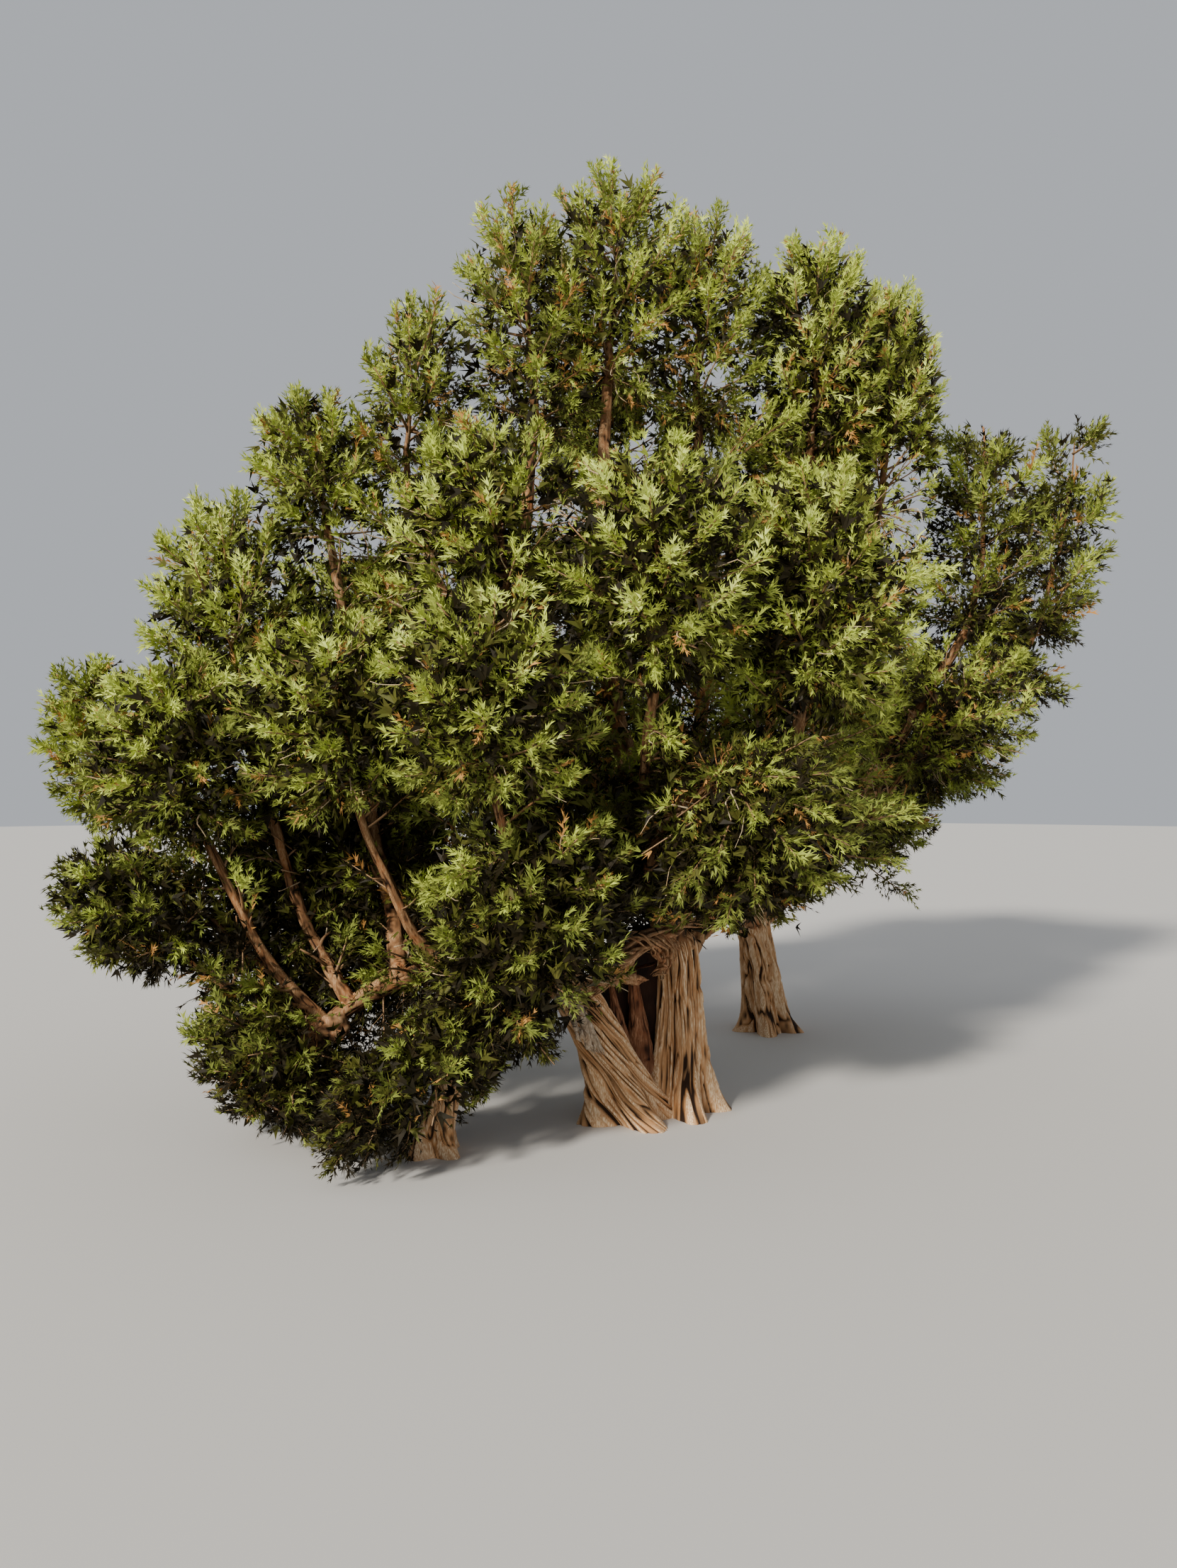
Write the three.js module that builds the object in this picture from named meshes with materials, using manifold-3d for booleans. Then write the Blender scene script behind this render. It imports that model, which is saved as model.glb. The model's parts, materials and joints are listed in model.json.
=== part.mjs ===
// An old juniper of the dry mountains: one clump of three trunks from one root, whose boughs carry
// a broad, uneven crown of flame-shaped lobes. Millimetres, +X across, +Y back, +Z up. The origin is
// on the level ground, under the main trunk, which parts into two stems just above its foot.

import * as THREE from "three";
import { mergeVertices } from "three/addons/utils/BufferGeometryUtils.js";
import Module from "manifold-3d";

const wasm = await Module();
wasm.setup();

// Clearances and the fineness of the faceted wood.
const SEAT_GAP = 0.4;
const CELL_GAP = 24;
const SPRAY_CLEARANCE = 25;
const TRUNK_SIDES = 12;
const TRUNK_RINGS = 7;
const BOUGH_SIDES = 6;
const BOUGH_RINGS = 4;

// How a trunk's rings crowd towards its foot, how fast the root flare fades with height, how deep the
// buttresses are in the stem and in the flare, and how far they wind round it, in radians.
const RING_CROWDING = 1.35;
const FLARE_FADE = 0.16;
const STEM_LOBES = 0.07;
const FLARE_LOBES = 0.75;
const WINDING = 2.2;

// A bough's collar, how fast it fades along the limb, and the power of its taper.
const COLLAR = 0.3;
const COLLAR_FADE = 0.05;
const TAPER_POWER = 0.85;

// Trunks: foot, bend and top of the middle line, half thickness at the foot and the top, how far
// the root flare stands out beyond that at the ground, and how many buttresses it has.
const trunks = {
  main_left: {
    foot: [-150, -170, 0], bend: [-400, -350, 640], top: [-700, -450, 1190],
    girth: [215, 165], flare: 130, buttresses: 4, turn: 0.4,
  },
  main_right: {
    foot: [205, 60, 0], bend: [235, 60, 720], top: [205, 50, 1420],
    girth: [215, 150], flare: 130, buttresses: 5, turn: 1.3,
  },
  right: {
    foot: [1400, 3000, 0], bend: [1335, 3000, 620], top: [1250, 3000, 1240],
    girth: [200, 165], flare: 100, buttresses: 5, turn: 2.1,
  },
  left: {
    foot: [-1590, -1000, 0], bend: [-1450, -1050, 520], top: [-1080, -1300, 1130],
    girth: [125, 72], flare: 60, buttresses: 4, turn: 0.9,
  },
};

// Dead wood that stands in the hollow between the two stems of the main trunk: foot, tip, half
// breadth and half thickness of each weathered slab, how it narrows and how far its edges twist.
const SLAB_SHARES = [1, 0.9, 0.55, 0.12];
const SLAB_TWIST = 40;
const deadWood = [
  { foot: [-60, -40, 150], tip: [-130, -110, 1330], breadth: 170, thickness: 40 },
  { foot: [-160, -120, 200], tip: [-330, -230, 1180], breadth: 120, thickness: 36 },
  { foot: [60, 20, 150], tip: [60, -60, 1210], breadth: 80, thickness: 30 },
];

// A limb that arches over from the right trunk and has grown together with the main trunk. It
// carries no foliage.
const grafts = {
  arch: { from: "right", at: 0.9, bend: [690, 1450, 1330], tip: [250, 110, 1170], girth: [74, 54] },
};

// Boughs, each with the mass of foliage that its tip carries. from and at: the limb it leaves and
// the share of that limb's length. bend and tip: its middle and its end. girth: half thickness at
// root and tip. far: the furthest tip of the foliage. half: half width and half depth of the mass.
const boughs = {
  top_centre: {
    from: "main_right", at: 0.9, bend: [-300, -160, 3300], tip: [-330, 600, 6000], girth: [128, 45],
    far: [-190, 900, 7980], half: [850, 960],
  },
  top_left: {
    from: "main_left", at: 0.92, bend: [-1010, -400, 2760], tip: [-930, 300, 5540], girth: [112, 42],
    far: [-1120, 350, 7520], half: [670, 880],
  },
  top_right: {
    from: "main_right", at: 0.96, bend: [420, 600, 3200], tip: [460, 900, 5860], girth: [92, 40],
    far: [620, 1150, 7760], half: [660, 900],
  },
  right_shoulder: {
    from: "main_right", at: 0.84, bend: [1130, 1000, 2500], tip: [2200, 1600, 5090], girth: [100, 42],
    far: [2280, 1700, 7500], half: [650, 920],
  },
  right_crest: {
    from: "right_shoulder", at: 0.3, bend: [1130, 1250, 3300], tip: [1500, 1200, 5510], girth: [62, 36],
    far: [1580, 1350, 7700], half: [740, 900],
  },
  left_shoulder: {
    from: "top_left", at: 0.42, bend: [-1500, 0, 3760], tip: [-1960, 200, 4940], girth: [60, 34],
    far: [-1700, 350, 6700], half: [570, 920],
  },
  centre_high: {
    from: "top_left", at: 0.14, bend: [-1090, -950, 2400], tip: [-1090, -950, 3750], girth: [62, 36],
    far: [-1220, -800, 5300], half: [860, 950],
  },
  front_left: {
    from: "centre_high", at: 0.2, bend: [-1000, -1490, 2050], tip: [-1130, -1750, 2700], girth: [42, 28],
    far: [-1130, -1800, 3980], half: [800, 760],
  },
  front_centre: {
    from: "top_centre", at: 0.28, bend: [-60, -950, 2780], tip: [-40, -1400, 3560], girth: [54, 32],
    far: [0, -1350, 5000], half: [860, 820],
  },
  front_right_low: {
    from: "top_centre", at: 0.14, bend: [-20, -640, 2180], tip: [430, -1050, 2640], girth: [68, 40],
    far: [750, -850, 1560], half: [1020, 950],
  },
  front_right: {
    from: "right_shoulder", at: 0.14, bend: [900, -420, 2330], tip: [1080, -850, 3380], girth: [58, 34],
    far: [1190, -820, 5020], half: [900, 850],
  },
  reclining: {
    from: "main_left", at: 0.8, bend: [-1560, -430, 1230], tip: [-2570, -640, 690], girth: [108, 62],
    far: [-2950, -1000, 130], half: [950, 900],
  },
  mid_left: {
    from: "reclining", at: 0.5, bend: [-1930, -760, 1810], tip: [-2150, -1050, 2620], girth: [48, 30],
    far: [-2300, -1250, 3840], half: [820, 850],
  },
  inner_left: {
    from: "reclining", at: 0.28, bend: [-1500, -20, 1550], tip: [-2000, 100, 1750], girth: [36, 24],
    far: [-3680, 150, 1500], half: [1300, 900],
  },
  left_high: {
    from: "reclining", at: 0.68, bend: [-2200, -80, 2500], tip: [-2570, 100, 4560], girth: [66, 34],
    far: [-2780, 200, 5830], half: [650, 880],
  },
  left_mid: {
    from: "reclining", at: 0.84, bend: [-2660, -420, 1650], tip: [-3140, -300, 3080], girth: [58, 32],
    far: [-3380, -50, 4970], half: [740, 930],
  },
  left_low: {
    from: "reclining", at: 0.93, bend: [-2900, -640, 1420], tip: [-3350, -850, 2420], girth: [52, 30],
    far: [-3330, -1250, 3560], half: [800, 760],
  },
  far_left: {
    from: "left_low", at: 0.3, bend: [-3480, -480, 1700], tip: [-4080, -300, 2480], girth: [32, 22],
    far: [-4390, -300, 3640], half: [510, 760],
  },
  low_left: {
    from: "left_low", at: 0.12, bend: [-3120, -900, 1170], tip: [-3440, -900, 1500], girth: [30, 22],
    far: [-4300, -850, 2080], half: [520, 700],
  },
  back_left: {
    from: "main_left", at: 0.7, bend: [-1500, 700, 1600], tip: [-2300, 1300, 2400], girth: [82, 40],
    far: [-2650, 1900, 5200], half: [1300, 1250],
  },
  far_right_inner: {
    from: "right", at: 0.94, bend: [2330, 2880, 2440], tip: [3330, 2450, 4160], girth: [112, 42],
    far: [3540, 2500, 6580], half: [800, 1100],
  },
  far_right_outer: {
    from: "far_right_inner", at: 0.5, bend: [3260, 2920, 3010], tip: [4080, 2700, 4080], girth: [56, 32],
    far: [4600, 2700, 6540], half: [650, 1000],
  },
  right_low: {
    from: "far_right_inner", at: 0.22, bend: [2190, 2350, 2130], tip: [2670, 1950, 2860], girth: [56, 34],
    far: [3560, 1900, 4060], half: [850, 950],
  },
  back_right_high: {
    from: "right", at: 0.97, bend: [1480, 3300, 2850], tip: [1750, 3500, 4400], girth: [100, 42],
    far: [1800, 3300, 7000], half: [1150, 1200],
  },
  back_centre_high: {
    from: "right", at: 0.9, bend: [700, 3050, 2600], tip: [-50, 2900, 4300], girth: [88, 40],
    far: [-350, 2600, 7100], half: [1250, 1300],
  },
  back_low: {
    from: "right", at: 0.8, bend: [500, 3400, 1560], tip: [-250, 3600, 2250], girth: [62, 36],
    far: [-900, 3900, 3900], half: [1250, 1000],
  },
  back_right_low: {
    from: "right", at: 0.86, bend: [1980, 3700, 1550], tip: [2480, 4150, 2150], girth: [62, 36],
    far: [3000, 4300, 4150], half: [1200, 1000],
  },
};

// The left trunk carries a mass at its tip, and another hangs like a skirt from its side.
const trunkFoliage = {
  front_low: { on: "left", at: 1, far: [-550, -1600, 2600], half: [780, 780] },
  left_skirt: { on: "left", at: 0.85, far: [-2350, -1700, 100], half: [450, 700] },
};

// How far a mass hangs back over its bough's tip, and how much of its room the hollows and the
// tufts of its dense heart fill, give or take the spread.
const HANG_SHARE = 0.5;
const HEART_HOLLOWS = 0.6;
const HEART_TUFTS = 0.86;
const HEART_SPREAD = 0.15;

// The stem of a mass and its twigs: how far the stem runs towards the furthest tip, half
// thicknesses at root and tip, where on the stem the twigs leave it at middle height and how that
// moves with height, the lowest and highest such place, how much of a twig's end shows, and how
// many sprays there are to each twig that shows.
const STEM_SHARE = 0.62;
const STEM_GIRTH = [30, 16];
const TWIG_GIRTH = [22, 14];
const TWIG_PLACE = 0.3;
const TWIG_CLIMB = 0.6;
const TWIG_PLACES = [0.25, 0.9];
const TWIG_SHOWS = 0.2;
const SPRAYS_PER_TWIG = 3;

// The feathered sprays that stand out of a mass: how many, the lowest and highest along its axis,
// how deep they root, how much they turn up at middle height and with height, how they face, how
// thick they are for their length, their greatest length, and the lengths that are tried.
const SPRAYS_PER_MASS = 7;
const SPRAY_HEIGHTS = [-0.8, 0.7];
const SPRAY_ROOT = 0.42;
const SPRAY_RISE = 0.35;
const SPRAY_RISE_GAIN = 0.5;
const SPRAY_FACING = 0.6;
const SPRAY_THICKNESS = 0.03;
const SPRAY_LONGEST = 1100;
const SPRAY_LENGTHS = [0.99, 0.85, 0.73, 0.6];
const FUSE_TOLERANCE = 5;

const woodColour = new THREE.Color("#8a7355");
const boughColour = new THREE.Color("#93704f");
const foliageColour = new THREE.Color("#5f7a2c");

const vector = (list) => new THREE.Vector3(...list);

// A repeatable source of numbers from 0 to 1.
function seeded(seed) {
  let state = seed >>> 0;
  return () => {
    state = (state + 0x6d2b79f5) >>> 0;
    let mixed = Math.imul(state ^ (state >>> 15), 1 | state);
    mixed = (mixed + Math.imul(mixed ^ (mixed >>> 7), 61 | mixed)) ^ mixed;
    return ((mixed ^ (mixed >>> 14)) >>> 0) / 4294967296;
  };
}

// A closed three.js geometry as a solid that can be joined and cut.
function solidOf(geometry) {
  const bare = geometry.clone();
  bare.deleteAttribute("normal");
  bare.deleteAttribute("uv");
  const merged = mergeVertices(bare, 0.001);
  return new wasm.Manifold(new wasm.Mesh({
    numProp: 3,
    vertProperties: new Float32Array(merged.attributes.position.array),
    triVerts: new Uint32Array(merged.index.array),
  }));
}

function geometryOf(solid) {
  const mesh = solid.getMesh();
  const geometry = new THREE.BufferGeometry();
  geometry.setAttribute("position", new THREE.BufferAttribute(new Float32Array(mesh.vertProperties), 3));
  geometry.setIndex(new THREE.BufferAttribute(new Uint32Array(mesh.triVerts), 1));
  geometry.computeVertexNormals();
  return geometry;
}

function largestBody(solid) {
  const bodies = solid.decompose();
  return bodies.reduce((best, body) => (body.volume() > best.volume() ? body : best));
}

// A closed skin over rings of points, listed from the root to the tip, with a flat face at each end.
function skinOver(rings) {
  const sides = rings[0].length;
  const points = rings.flat();
  const faces = [];
  for (let ring = 0; ring + 1 < rings.length; ring += 1) {
    for (let side = 0; side < sides; side += 1) {
      const next = (side + 1) % sides;
      const low = ring * sides;
      const high = low + sides;
      faces.push(low + side, low + next, high + next, low + side, high + next, high + side);
    }
  }
  const last = points.length - sides;
  for (let side = 1; side + 1 < sides; side += 1) {
    faces.push(0, side + 1, side, last, last + side, last + side + 1);
  }
  const geometry = new THREE.BufferGeometry();
  geometry.setAttribute("position", new THREE.Float32BufferAttribute(points.flatMap((p) => p.toArray()), 3));
  geometry.setIndex(faces);
  return geometry;
}

// A limb's middle line is a parabola from start to tip that passes through bend half way, so it
// lies in one plane, and the plane's normal serves as the first axis of every ring.
function middleLine(start, bend, tip) {
  const pull = bend.clone().multiplyScalar(2).addScaledVector(start, -0.5).addScaledVector(tip, -0.5);
  const normal = new THREE.Vector3().crossVectors(bend.clone().sub(start), tip.clone().sub(bend));
  if (normal.length() < 1) {
    normal.crossVectors(tip.clone().sub(start), new THREE.Vector3(0.3, 1, 0.2));
  }
  normal.normalize();
  const point = (t) => start.clone().multiplyScalar((1 - t) * (1 - t))
    .addScaledVector(pull, 2 * t * (1 - t)).addScaledVector(tip, t * t);
  const heading = (t) => pull.clone().sub(start).multiplyScalar(1 - t)
    .addScaledVector(tip.clone().sub(pull), t).normalize();
  return { point, heading, normal };
}

// A tapering round limb along a middle line: a collar at the root, then an even taper. grow makes
// it thicker all over, for cutting what has to stay clear of it.
function limbSolid(line, girth, sides, ringCount, grow = 0) {
  const rings = [];
  for (let ring = 0; ring <= ringCount; ring += 1) {
    const t = ring / ringCount;
    const heading = line.heading(t);
    const across = new THREE.Vector3().crossVectors(heading, line.normal);
    const collar = 1 + COLLAR * Math.exp(-t / COLLAR_FADE);
    const radius = (girth[0] + (girth[1] - girth[0]) * t ** TAPER_POWER) * collar + grow;
    const centre = line.point(t);
    if (ring === ringCount) centre.addScaledVector(heading, grow);
    rings.push(Array.from({ length: sides }, (_, side) => {
      const angle = (2 * Math.PI * side) / sides;
      return centre.clone().addScaledVector(line.normal, radius * Math.cos(angle))
        .addScaledVector(across, radius * Math.sin(angle));
    }));
  }
  return solidOf(skinOver(rings));
}

// A trunk's rings are level, so its foot is a flat cut at the ground. The flare fades with height
// and is drawn out into buttresses, which wind a little round the stem as they rise.
function trunkSolid(trunk, line, grow = 0) {
  const rings = [];
  for (let ring = 0; ring <= TRUNK_RINGS; ring += 1) {
    const t = (ring / TRUNK_RINGS) ** RING_CROWDING;
    const flare = trunk.flare * Math.exp(-t / FLARE_FADE);
    const radius = trunk.girth[0] + (trunk.girth[1] - trunk.girth[0]) * t;
    const centre = line.point(t);
    if (ring === TRUNK_RINGS) centre.z += grow;
    rings.push(Array.from({ length: TRUNK_SIDES }, (_, side) => {
      const angle = (2 * Math.PI * side) / TRUNK_SIDES;
      const lobe = Math.cos(trunk.buttresses * (angle - trunk.turn) + WINDING * t);
      const reach = radius * (1 + STEM_LOBES * lobe) + flare * (1 + FLARE_LOBES * lobe) + grow;
      return centre.clone().add(new THREE.Vector3(reach * Math.cos(angle), reach * Math.sin(angle), 0));
    }));
  }
  return solidOf(skinOver(rings));
}

// A weathered slab: a flat board that narrows to a ragged point.
function slabSolid({ foot, tip, breadth, thickness }) {
  const line = middleLine(vector(foot), vector(foot).add(vector(tip)).multiplyScalar(0.5), vector(tip));
  const rings = SLAB_SHARES.map((share, index) => {
    const centre = line.point(index / (SLAB_SHARES.length - 1));
    return [[-1, -1], [1, -1], [1, 1], [-1, 1]].map(([across, deep]) => centre.clone().add(
      new THREE.Vector3(across * breadth * share, deep * thickness * share, across * SLAB_TWIST * index),
    ));
  });
  return solidOf(skinOver(rings));
}

// The wood, in the order in which it grows: each limb is cut clear of all the wood before it.
const lines = {};
const wood = {};
const cutters = {};

function boxesMeet(first, second) {
  const a = first.boundingBox();
  const b = second.boundingBox();
  return [0, 1, 2].every((axis) => a.min[axis] < b.max[axis] && b.min[axis] < a.max[axis]);
}

function clearOf(solid, others) {
  const near = Object.values(others).filter((other) => boxesMeet(solid, other));
  return near.length ? largestBody(solid.subtract(wasm.Manifold.union(near))) : solid;
}

for (const [name, trunk] of Object.entries(trunks)) {
  lines[name] = middleLine(vector(trunk.foot), vector(trunk.bend), vector(trunk.top));
}

function mainTrunk(grow) {
  const stems = ["main_left", "main_right"].map((name) => trunkSolid(trunks[name], lines[name], grow));
  return wasm.Manifold.union([...stems, ...deadWood.map(slabSolid)]);
}

wood.main_trunk = mainTrunk(0);
cutters.main_trunk = mainTrunk(SEAT_GAP);
for (const name of ["right", "left"]) {
  wood[`${name}_trunk`] = trunkSolid(trunks[name], lines[name]);
  cutters[`${name}_trunk`] = trunkSolid(trunks[name], lines[name], SEAT_GAP);
}

for (const [name, bough] of Object.entries({ ...grafts, ...boughs })) {
  const start = lines[bough.from].point(bough.at);
  lines[name] = middleLine(start, vector(bough.bend), vector(bough.tip));
  const whole = limbSolid(lines[name], bough.girth, BOUGH_SIDES, BOUGH_RINGS);
  wood[`${name}_bough`] = clearOf(whole, cutters);
  cutters[`${name}_bough`] = limbSolid(lines[name], bough.girth, BOUGH_SIDES, BOUGH_RINGS, SEAT_GAP);
}

// The room of a mass: an egg-shaped space round the line from its bough's tip to its furthest tip,
// wider than it is deep or the other way round.
function roomOf(base, far, half) {
  const axis = far.clone().sub(base);
  const length = axis.length() / (1 + HANG_SHARE);
  axis.normalize();
  const centre = far.clone().addScaledVector(axis, -length);
  const back = new THREE.Vector3(0, 1, 0).addScaledVector(axis, -axis.y).normalize();
  const across = new THREE.Vector3().crossVectors(back, axis);
  const spans = [[axis, length], [across, half[0]], [back, half[1]]];
  return { base, far, centre, axis, length, spans, walls: [] };
}

// How far a room's egg reaches from its centre towards a direction, measured to the plane that
// touches it there.
function breadthTowards(room, direction) {
  return Math.sqrt(room.spans.reduce((sum, [along, size]) => sum + (size * direction.dot(along)) ** 2, 0));
}

// Neighbours share the space between them at a flat wall, placed by their sizes.
function raiseWalls(rooms) {
  const list = Object.values(rooms);
  for (const room of list) {
    for (const other of list) {
      if (other === room) continue;
      const direction = other.centre.clone().sub(room.centre);
      const distance = direction.length();
      direction.normalize();
      const own = breadthTowards(room, direction);
      const share = own / (own + breadthTowards(other, direction));
      room.walls.push({ direction, reach: distance * share - CELL_GAP / 2 });
    }
    room.walls.push({ direction: new THREE.Vector3(0, 0, -1), reach: room.centre.z - CELL_GAP });
  }
}

function isInside(room, point) {
  const offset = point.clone().sub(room.centre);
  const depth = room.spans.reduce((sum, [along, size]) => sum + (offset.dot(along) / size) ** 2, 0);
  return depth <= 1 && room.walls.every((wall) => offset.dot(wall.direction) <= wall.reach);
}

// The distance from a room's centre to its boundary along a direction.
function reachTowards(room, direction) {
  const steepness = room.spans.reduce((sum, [along, size]) => sum + (direction.dot(along) / size) ** 2, 0);
  const egg = 1 / Math.sqrt(steepness);
  return room.walls.reduce((least, wall) => {
    const slope = direction.dot(wall.direction);
    return slope > 1e-6 ? Math.min(least, wall.reach / slope) : least;
  }, egg);
}

const rooms = {};
for (const [name, bough] of Object.entries(boughs)) {
  rooms[name] = roomOf(vector(bough.tip), vector(bough.far), bough.half);
}
for (const [name, foliage] of Object.entries(trunkFoliage)) {
  rooms[name] = roomOf(lines[foliage.on].point(foliage.at), vector(foliage.far), foliage.half);
}
raiseWalls(rooms);

const goldenAngle = Math.PI * (3 - Math.sqrt(5));

// A feathered spray: a thin blade with four teeth, thickest along its middle.
const sprayMiddle = [0.44, 0];
const sprayOutline = [
  [0, 0], [0.55, -0.34], [0.6, -0.13], [1, 0], [0.66, 0.14], [0.68, 0.36], [0.42, 0.13], [0.32, 0.28],
];

function spraySolid(root, tip, facing) {
  const along = tip.clone().sub(root);
  const length = along.length();
  const across = new THREE.Vector3().crossVectors(facing, along).setLength(length);
  const proud = new THREE.Vector3().crossVectors(along, across).setLength(length * SPRAY_THICKNESS);
  const place = ([x, y]) => root.clone().addScaledVector(along, x).addScaledVector(across, y);
  const rim = sprayOutline.map(place);
  const middle = place(sprayMiddle);
  const points = [...rim, middle.clone().add(proud), middle.clone().sub(proud)];
  const top = rim.length;
  const faces = rim.flatMap((_, index) => {
    const next = (index + 1) % rim.length;
    return [top, index, next, top + 1, next, index];
  });
  const geometry = new THREE.BufferGeometry();
  geometry.setAttribute("position", new THREE.Float32BufferAttribute(points.flatMap((p) => p.toArray()), 3));
  geometry.setIndex(faces);
  return { solid: solidOf(geometry), rim };
}

// A direction drawn out by the room's own proportions.
function stretched(room, direction) {
  return room.spans.reduce(
    (sum, [along, size], index) => sum.addScaledVector(along, size * direction.getComponent(index)),
    new THREE.Vector3(),
  ).normalize();
}

// The dense heart of a mass: a tufted ball of 80 faces. The corners where five faces meet stand
// out as tufts, and the others lie back between them.
function heartSolid(room, random) {
  const ball = new THREE.IcosahedronGeometry(1, 1);
  ball.deleteAttribute("normal");
  ball.deleteAttribute("uv");
  const merged = mergeVertices(ball, 0.001);
  const place = merged.attributes.position;
  const facesAt = new Array(place.count).fill(0);
  merged.index.array.forEach((corner) => { facesAt[corner] += 1; });
  for (let index = 0; index < place.count; index += 1) {
    const direction = stretched(room, new THREE.Vector3().fromBufferAttribute(place, index));
    const uneven = 1 + HEART_SPREAD * (2 * random() - 1);
    const share = (facesAt[index] === 5 ? HEART_TUFTS : HEART_HOLLOWS) * uneven;
    const point = room.centre.clone().addScaledVector(direction, reachTowards(room, direction) * share);
    place.setXYZ(index, point.x, point.y, point.z);
  }
  return solidOf(merged);
}

// How far the room goes on from a point inside it along a heading, found by halving.
function roomAhead(room, root, heading) {
  let inside = 0;
  let outside = SPRAY_LONGEST;
  for (let step = 0; step < 10; step += 1) {
    const halfWay = (inside + outside) / 2;
    if (isInside(room, root.clone().addScaledVector(heading, halfWay))) inside = halfWay;
    else outside = halfWay;
  }
  return inside;
}

// A spray as long as its room allows, then shorter, until its teeth keep to the room and off the
// wood. Where none fits it is left out.
function fitSpray(room, root, heading, facing, isClear) {
  const longest = roomAhead(room, root, heading);
  for (const share of SPRAY_LENGTHS) {
    const spray = spraySolid(root, root.clone().addScaledVector(heading, longest * share), facing);
    if (spray.rim.every((point) => isInside(room, point)) && isClear(spray.solid)) return [spray.solid];
  }
  return [];
}

function woodNear(room) {
  const size = Math.max(...room.spans.map(([, span]) => span));
  return Object.values(wood).filter((limb) => {
    const box = limb.boundingBox();
    return room.centre.toArray().every(
      (value, axis) => box.min[axis] - size < value && value < box.max[axis] + size,
    );
  });
}

function straightTwig(root, end, girth) {
  return limbSolid(middleLine(root, root.clone().lerp(end, 0.5), end), girth, 3, 1);
}

// A mass of foliage: a stem from the bough's tip, and sprays set round it by the golden angle that
// stand out and rise with the mass, or droop where they are low. Some have a twig that shows. All
// are in one body with the dense heart.
function massSolid(room, seed) {
  const random = seeded(seed);
  const nearWood = woodNear(room);
  const isClear = (solid) => nearWood.every((limb) => solid.minGap(limb, SPRAY_CLEARANCE) >= SPRAY_CLEARANCE);
  const stemEnd = room.base.clone().lerp(room.far, STEM_SHARE);
  const pieces = [heartSolid(room, random), straightTwig(room.base, stemEnd, STEM_GIRTH)];
  const topRoot = stemEnd.clone().addScaledVector(room.axis, -2 * STEM_GIRTH[0]);
  pieces.push(...fitSpray(room, topRoot, room.axis, room.spans[2][0], isClear));
  for (let index = 0; index < SPRAYS_PER_MASS; index += 1) {
    const lift = THREE.MathUtils.lerp(...SPRAY_HEIGHTS, (index + 0.5) / SPRAYS_PER_MASS);
    const level = Math.sqrt(1 - lift * lift);
    const angle = index * goldenAngle + seed;
    const outward = new THREE.Vector3(lift, level * Math.cos(angle), level * Math.sin(angle));
    const direction = stretched(room, outward);
    const reach = reachTowards(room, direction);
    const rise = SPRAY_RISE + SPRAY_RISE_GAIN * lift;
    const heading = direction.clone().addScaledVector(room.axis, rise).normalize();
    const sideways = new THREE.Vector3().crossVectors(heading, room.axis).normalize();
    const facing = direction.clone().addScaledVector(room.axis, SPRAY_FACING);
    facing.addScaledVector(sideways, random() - 0.5);
    const root = room.centre.clone().addScaledVector(direction, reach * SPRAY_ROOT);
    if (index % SPRAYS_PER_TWIG === 0) {
      const place = THREE.MathUtils.clamp(TWIG_PLACE + TWIG_CLIMB * lift, ...TWIG_PLACES);
      const twigEnd = root.clone().addScaledVector(heading, reach * TWIG_SHOWS);
      const twig = straightTwig(room.base.clone().lerp(stemEnd, place), twigEnd, TWIG_GIRTH);
      if (!isClear(twig)) continue;
      pieces.push(twig);
    }
    pieces.push(...fitSpray(room, root, heading, facing, isClear));
  }
  return clearOf(largestBody(wasm.Manifold.union(pieces).simplify(FUSE_TOLERANCE)), cutters);
}

const tree = new THREE.Group();

function addNode(name, solid, colour, roughness) {
  const material = new THREE.MeshStandardMaterial({ color: colour, roughness, metalness: 0 });
  const mesh = new THREE.Mesh(geometryOf(solid), material);
  mesh.name = name;
  tree.add(mesh);
}

for (const [name, solid] of Object.entries(wood)) {
  addNode(name, solid, name.endsWith("_trunk") ? woodColour : boughColour, 0.9);
}
Object.entries(rooms).forEach(([name, room], index) => {
  addNode(`${name}_foliage`, massSolid(room, index + 1), foliageColour, 0.85);
});

export default tree;
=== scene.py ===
# %% [markdown]
# # An old juniper
#
# A juniper of the dry mountains: one clump of leaning trunks from one root, whose boughs carry a broad,
# uneven crown of flame-shaped lobes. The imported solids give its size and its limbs. This lesson dresses
# them: bark with real furrows, twigs that branch by one rule, and some 340,000 small sprigs of leaves,
# each of three faces. Everything is in metres, with +Z up and the tree's front towards -Y.

import json
from collections import namedtuple

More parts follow.
